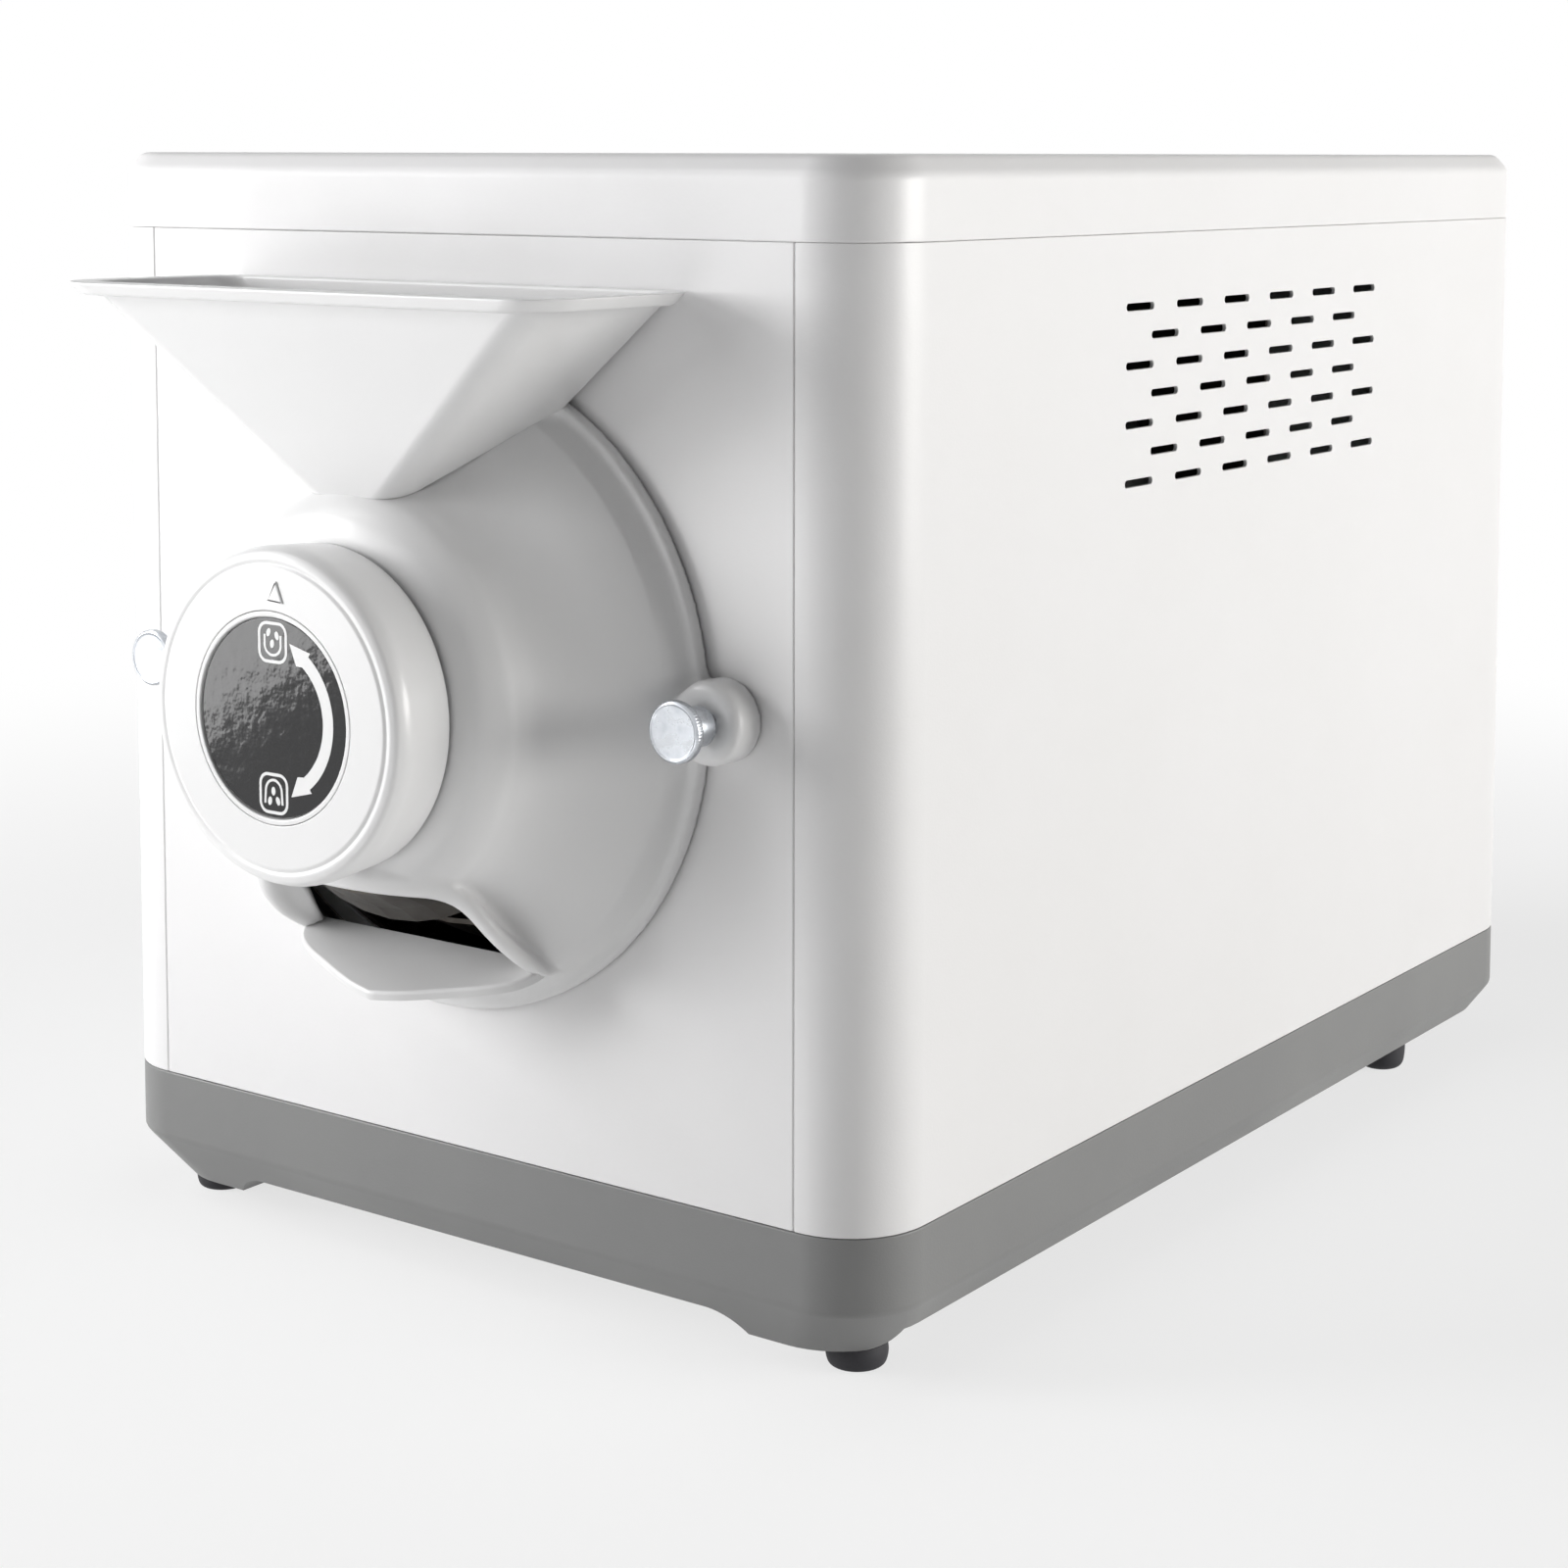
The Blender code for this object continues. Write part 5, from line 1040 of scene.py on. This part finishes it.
def makeHopper():
    # rows go up the outside, round the lip, and down the inside; the lowest rows sit on the bell
    h = hopper
    wide, wall, soft = h["lipOut"], h["wall"], h["soft"]
    top = h["top"]
    lipBottom = top - h["lip"]

    def seated(inset):
        level = np.full(len(hopperRing(h["foot"], inset, 0)), h["foot"] + 20.0)
        for _ in range(12):
            flat = np.array([hopperRing(v, inset, 0)[k] for k, v in enumerate(level)])
            radius = np.interp(flat[:, 1], bellLine[:, 1], bellLine[:, 0])
            radius = np.where(flat[:, 1] < bellLine[0, 1], cover["rim"], radius)
            level = np.sqrt(np.maximum(radius**2 - flat[:, 0] ** 2, 0)) + 0.15
        return np.column_stack([flat, level])

    lipLine = softLine([
        (0, lipBottom, 0.4),
        (wide, lipBottom, soft),
        (wide, top, soft),
        (-wall, top, soft),
        (-wall, top - 6, 0),
    ])
    outside, inside = seated(0), seated(wall)
    rows = [outside]
    below = lipBottom - 0.4
    first = atHeight(hopperRing(below, 0, 0), below)
    for share in np.linspace(0.15, 1, 8):
        rows.append(outside + (first - outside) * share)
    for out, height in lipLine[1:]:
        rows.append(atHeight(hopperRing(height, max(-out, 0), max(out, 0)), height))
    last = rows[-1]
    for share in np.linspace(0.15, 1, 8):
        rows.append(last + (inside - last) * share)
    rows = np.array(rows)
    piece = surface("hopper_funnel", onAxis(*np.moveaxis(rows, -1, 0)), wrapRows=True)
    finishPiece(piece, "gloss_white", "cabinet", ("hopper",), sharp=50)


makeHopper()
print("hopper made")


# Selector knob and label

knob = {
    "front": 59.0,
    "radius": 38.5,
    "backRadius": 37.4,
    "back": 41.4,
    "edge": 3.6,
    "wall": 2.2,
    "bore": 24.15,
    "web": (53.0, 50.5),
    "groove": (34.3, 1.3, 0.5),  # radius, width and depth of the fine line near the edge
    "pointer": (28.7, math.radians(4)),  # distance from the axis, and lean to the right
    "post": 6.3,
}


def makeKnob():
    k = knob
    front = k["front"]
    webFront, webBack = k["web"]
    ringR, ringW, ringD = k["groove"]
    inner = k["backRadius"] - k["wall"]
    line = softLine([
        (inner, k["back"], 0.3),
        (k["backRadius"], k["back"], 0.7),
        (k["radius"], front - k["edge"], 2.0),
        (k["radius"] - 1.1, front - 0.8, 1.6),
        (ringR + ringW, front - 0.15, 0.9),
        (ringR + ringW * 0.25, front - ringD, 0.25),
        (ringR - ringW * 0.35, front, 0.35),
        (k["bore"], front, 0.25),
        (k["bore"], webFront, 0.2),
        (k["post"], webFront, 0.2),
        (k["post"], webBack, 0.2),
        (inner, webBack, 0.4),
    ], closed=True)
    ring = turnedPiece("knob_ring", line, steps=192, wrap=True)
    pin = turnedPiece("pin_hole", np.array([(0, 48.0), (2.8, 48.0), (2.8, 56.0), (0, 56.0)]), (0, -24), 32)
    cutWith(ring, pin)
    away, lean = k["pointer"]
    mark = softLine([(0, 2.5, 0.5), (-2.6, -2.5, 0.5), (2.6, -2.5, 0.5)], closed=True, steps=4)
    mark = leaned(mark + (0, away), lean)
    pointer = plateFrom("pointer", mark, 1.0, 0.45, lambda x, d, z: onAxis(x, front + 0.45 - d, z))
    finishPiece(joinMeshes("selector_ring", [ring, pointer]), "gloss_white", "selector", ("selector_knob",))


label = {
    "hub": 24.0,
    "hubBack": 53.8,
    "bore": 2.3,
    "recess": 0.6,
    "disc": 22.4,
    "thickness": 0.5,
    "print": 0.06,
    "printSunk": 0.04,
}
printFace = knob["front"] - label["recess"] + label["print"]
printBack = knob["front"] - label["recess"] - label["printSunk"]


def makeLabel():
    front, bore = knob["front"], label["bore"]
    line = softLine([
        (bore, label["hubBack"], 0),
        (label["hub"], label["hubBack"], 0.3),
        (label["hub"], front, 0.25),
        (label["disc"] + 0.35, front, 0.4),
        (label["disc"] + 0.25, front - label["recess"] - 0.8, 0),
        (bore + 2, front - label["recess"] - 0.8, 0),
        (bore + 2, front - 3.7, 0),
        (bore, front - 3.7, 0),
    ], closed=True)
    cup = turnedPiece("label_cup", line, wrap=True, steps=160)
    finishPiece(cup, "gloss_white", "cabinet", ("label_hub",))
    radius = label["disc"]
    face = front - label["recess"]
    back = face - label["thickness"]
    line = softLine([(0, face, 0), (radius, face, 0.15), (radius, back, 0.15), (0, back, 0)])
    plate = turnedPiece("label_plate", line, steps=160)
    finishPiece(plate, "label_black", "cabinet", ("label_disc",))


def printStroke(points, width, closed=False):
    # a flat ribbon of even width along a line of (x, z) points
    p = np.array(points, float)
    ahead = np.roll(p, -1, 0) - np.roll(p, 1, 0)
    if not closed:
        ahead[0], ahead[-1] = p[1] - p[0], p[-1] - p[-2]
    normal = np.stack([-ahead[:, 1], ahead[:, 0]], -1) / np.linalg.norm(ahead, axis=1)[:, None]
    return p + normal * width / 2, p - normal * width / 2


def ribbon(name, left, right, closed=False):
    # four lines carried along the stroke: two on the face of the print, two under it
    rows = []
    for line, d in ((left, printFace), (right, printFace), (right, printBack), (left, printBack)):
        rows.append(onAxis(line[:, 0], d, line[:, 1]))
    return surface(name, np.stack(rows, 1), wrapRows=closed)


def printPlate(name, outline):
    # a flat patch of print inside one outline
    return surface(name, np.stack([onAxis(outline[:, 0], d, outline[:, 1]) for d in (printFace, printBack)]))


def arcLine(radius, first, last, count, centre=(0, 0), tall=1.0):
    return arc(radius, np.radians(np.linspace(first, last, count))) * (1, tall) + centre


arrow = {
    "inner": 15.4,
    "outer": 18.5,
    "reach": 53,  # degrees above and below the middle at which the heads begin
    "tip": (5.4, 17.2),
    "barbs": ((11.7, 15.6), (7.4, 12.4)),  # the outer and the inner corner of a head
}
icon = {
    "frame": (8.3, 8.6, 2.3),  # width, height and corner radius
    "frameStroke": 0.7,
    "stroke": 0.6,
    "bean": (0.62, 1.6),  # half width, and how many times as long
}
beans = (
    # place and lean in degrees: three over the cup, three under the arch
    (-1.1, 19.2, 25),
    (1.5, 18.6, -15),
    (0.0, 16.7, 10),
    (-0.2, -16.5, 0),
    (-1.3, -18.8, 10),
    (1.2, -18.6, -20),
)


def makePrint():
    # a double arrow on the right, and two generic pictograms: beans in an open cup and under an arch
    a = arrow
    top = np.array([a["barbs"][1], a["tip"], a["barbs"][0]])
    outer = arcLine(a["outer"], a["reach"], -a["reach"], 40)
    inner = arcLine(a["inner"], -a["reach"], a["reach"], 40)
    pieces = [printPlate("arrow", chain(top, outer, top[::-1] * (1, -1), inner))]
    for x, z in ((0.15, 17.0), (-0.1, -17.05)):
        frameLine = roundedRectangle(*icon["frame"], 6) + (x, z)
        pieces.append(ribbon("icon_frame", *printStroke(frameLine, icon["frameStroke"], True), closed=True))
    bowl = arcLine(2.5, 180, 360, 17, (0.2, 16.4), 0.9)
    cup = chain([(-2.3, 18.7)], bowl, [(2.7, 18.7)])
    pieces.append(ribbon("icon_cup", *printStroke(cup, icon["stroke"])))
    crown = arcLine(2.5, 180, 0, 17, (-0.1, -16.6), 1.05)
    arch = chain([(-2.8, -19.4)], crown, [(2.6, -19.4)])
    pieces.append(ribbon("icon_arch", *printStroke(arch, icon["stroke"])))
    halfWidth, tall = icon["bean"]
    oval = arcLine(halfWidth, 0, 342, 20, tall=tall)
    for x, z, lean in beans:
        pieces.append(printPlate("icon_bean", leaned(oval, math.radians(lean)) + (x, z)))
    finishPiece(joinMeshes("label_print", pieces), "gloss_white", "cabinet", sharp=30)


makeKnob()
makeLabel()
makePrint()
print("knob and label made")


# Thumbscrews

thumb = {
    "offset": 82.5,
    "head": 7.0,
    "height": 2.6,
    "front": 20.0,
    "neck": 4.6,
    "shank": 2.2,
    "end": -8.0,
    "knurls": 60,
}


def makeThumbscrews():
    # the head's edge is rippled by fine ridges that fade out at its two rounded rims
    t = thumb
    front, head, neck, shank = (t[key] for key in ("front", "head", "neck", "shank"))
    back = front - t["height"]
    line = softLine([
        (0, front - 0.3, 0),
        (head - 1.1, front - 0.3, 0.4),
        (head - 0.7, front, 0.25),
        (head, front - 0.5, 0.35),
        (head, back + 0.5, 0.35),
        (head - 0.6, back, 0.3),
        (neck - 0.5, back - 0.1, 0.5),
        (neck, 13.5, 1.0),
        (neck, 10.2, 0.4),
        (shank, 9.6, 0.2),
        (shank, t["end"], 0.4),
        (0, t["end"], 0),
    ])
    angle = np.linspace(0, 2 * pi, t["knurls"] * 6, endpoint=False)
    radius, forward = line[:, :1], line[:, 1:]
    ridge = np.clip(1 - np.abs(forward - (front + back) / 2) / (t["height"] / 2 - 0.2), 0, 0.25) * 4
    ridge = ridge * (radius > head - 0.1)
    radius = radius + 0.08 * ridge * (np.abs(np.sin(angle * t["knurls"] / 2)) - 1)
    for side, name in ((-1, "left"), (1, "right")):
        grid = onAxis(side * t["offset"] + radius * np.cos(angle), forward, radius * np.sin(angle))
        piece = surface("screw_" + name, grid)
        finishPiece(piece, "zinc_steel", "thumbscrew_" + name, ("thumbscrew_" + name,), sharp=55)


makeThumbscrews()
print("thumbscrews made")


# Rear panel and its controls: merged copies of the solids with softened edges

dressed = {
    "rear_panel": ("cabinet", 0.3),
    "rear_screw_upper_left": ("cabinet", 0.25),
    "rear_screw_upper_right": ("cabinet", 0.25),
    "rear_screw_lower_left": ("cabinet", 0.25),
    "rear_screw_lower_right": ("cabinet", 0.25),
    "power_inlet": ("cabinet", 0.35),
    "switch_housing": ("cabinet", 0.35),
    "switch_rocker": ("rocker", 0.4),
    "temperature_dial": ("dial", 0.5),
    "fan_frame": ("cabinet", 0.4),
    "fan_rotor": ("fan", 0.2),
}


def dressNode(node, body, width):
    obj = addObject(node + "_dressed", nodes[node].data.copy())
    with openMesh(obj) as work:
        bmesh.ops.remove_doubles(work, verts=work.verts, dist=weldGap)
        bmesh.ops.dissolve_limit(work, angle_limit=math.radians(1), verts=work.verts, edges=work.edges)
    angle = math.radians(40)
    addModifier(obj, "BEVEL", width=width * mm, segments=2, limit_method="ANGLE", angle_limit=angle)
    settle(obj)
    finishPiece(obj, slots[node], body, (node,))


for node, (body, width) in dressed.items():
    dressNode(node, body, width)
print("rear controls made")


# Floor, light and background

studio = {
    "ambient": 0.06,
    "lights": (
        # place, size, watts, colour: the two on the right are a little warm
        ((-1.50, -1.26, 0.66), 0.9, 26.0, (1, 1, 1)),
        ((-1.35, -0.95, 1.75), 0.9, 11.0, (1, 1, 1)),
        ((1.82, 1.23, 0.50), 0.7, 15.0, (1, 0.99, 0.965)),
        ((2.11, 0.62, 0.35), 0.7, 23.0, (1, 0.99, 0.965)),
    ),
    # a small tilted card that the label mirrors
    "card": {
        "place": (-0.4204, -0.6010, 0.2038),
        "turn": (1.7865, -0.5649, -0.9228),
        "size": 0.26,
        "watts": 0.85,
    },
    # a pale reflector that lies in front on the floor
    "bounce": {"place": (-0.02, -0.58, 0.003), "size": 0.45, "watts": 0.6},
    "aim": (0, 0.02, 0.13),
    "floorHalf": 6.0,
    "floorWhite": 0.88,
    "floorFade": (0.30, 0.85, 0.72),  # the floor's share of white grows from this far out to this far
}


def seenRays(tree):
    # a node whose value is one for what the camera sees, directly, mirrored or through glass
    path = addNode(tree, "LightPath")
    first = addNode(tree, "Math", operation="MAXIMUM")
    second = addNode(tree, "Math", operation="MAXIMUM")
    wire(
        tree,
        (path, "Is Camera Ray", first, 0),
        (path, "Is Glossy Ray", first, 1),
        (first, 0, second, 0),
        (path, "Is Transmission Ray", second, 1),
    )
    return second


def makeFloor():
    far = studio["floorHalf"]
    points = np.array([(-far, -far, 0), (far, -far, 0), (far, far, 0), (-far, far, 0)], float)
    floor = newObject("studio_floor", points, [[0, 1, 2, 3]])
    made = bpy.data.materials.new("studio floor")
    made.use_nodes = True
    tree = made.node_tree
    shader = tree.nodes["Principled BSDF"]
    white = studio["floorWhite"]
    setInputs(shader, {"Base Color": (white, white, white, 1), "Roughness": 0.9, "Specular IOR Level": 0.1})
    first, last, least = studio["floorFade"]
    values = {"From Min": first, "From Max": last, "To Min": least}
    fade = addNode(tree, "MapRange", values, interpolation_type="SMOOTHSTEP")
    glow = addNode(tree, "Emission")
    where = addNode(tree, "TexCoord")
    away = addNode(tree, "VectorMath", operation="LENGTH")
    share = addNode(tree, "Math", operation="MULTIPLY")
    mix = addNode(tree, "MixShader")
    wire(
        tree,
        (where, "Object", away, 0),
        (away, "Value", fade, "Value"),
        (seenRays(tree), 0, share, 0),
        (fade, "Result", share, 1),
        (share, 0, mix, 0),
        (shader, 0, mix, 1),
        (glow, 0, mix, 2),
        (mix, 0, tree.nodes["Material Output"], "Surface"),
    )
    floor.data.materials.append(made)


def makeWorld():
    world = bpy.data.worlds.new("studio")
    bpy.context.scene.world = world
    world.use_nodes = True
    tree = world.node_tree
    ambient = tree.nodes["Background"]
    setInputs(ambient, {"Color": (0.97, 0.98, 1.0, 1), "Strength": studio["ambient"]})
    seen = addNode(tree, "Background", {"Color": (1, 1, 1, 1), "Strength": 1})
    mix = addNode(tree, "MixShader")
    wire(
        tree,
        (seenRays(tree), 0, mix, 0),
        (ambient, 0, mix, 1),
        (seen, 0, mix, 2),
        (mix, 0, tree.nodes["World Output"], "Surface"),
    )


def addSoftbox(name, place, turn, size, watts, colour=(1, 1, 1)):
    data = bpy.data.lights.new(name, "AREA")
    data.shape = "SQUARE"
    data.color = colour
    data.size = size
    data.energy = watts
    obj = addObject(name, data)
    obj.location = place
    obj.rotation_euler = turn
    obj.visible_camera = False


def makeLights():
    aim = np.array(studio["aim"])
    for k, (place, size, watts, colour) in enumerate(studio["lights"]):
        way = aim - np.array(place)
        turn = (math.atan2(math.hypot(way[0], way[1]), -way[2]), 0, math.atan2(-way[0], way[1]))
        addSoftbox(f"softbox_{k}", place, turn, size, watts, colour)
    card = studio["card"]
    addSoftbox("card", card["place"], card["turn"], card["size"], card["watts"])
    bounce = studio["bounce"]
    addSoftbox("bounce", bounce["place"], (pi, 0, 0), bounce["size"], bounce["watts"])


makeFloor()
makeWorld()
makeLights()
bpy.context.scene.view_settings.view_transform = "Standard"
print("studio ready")
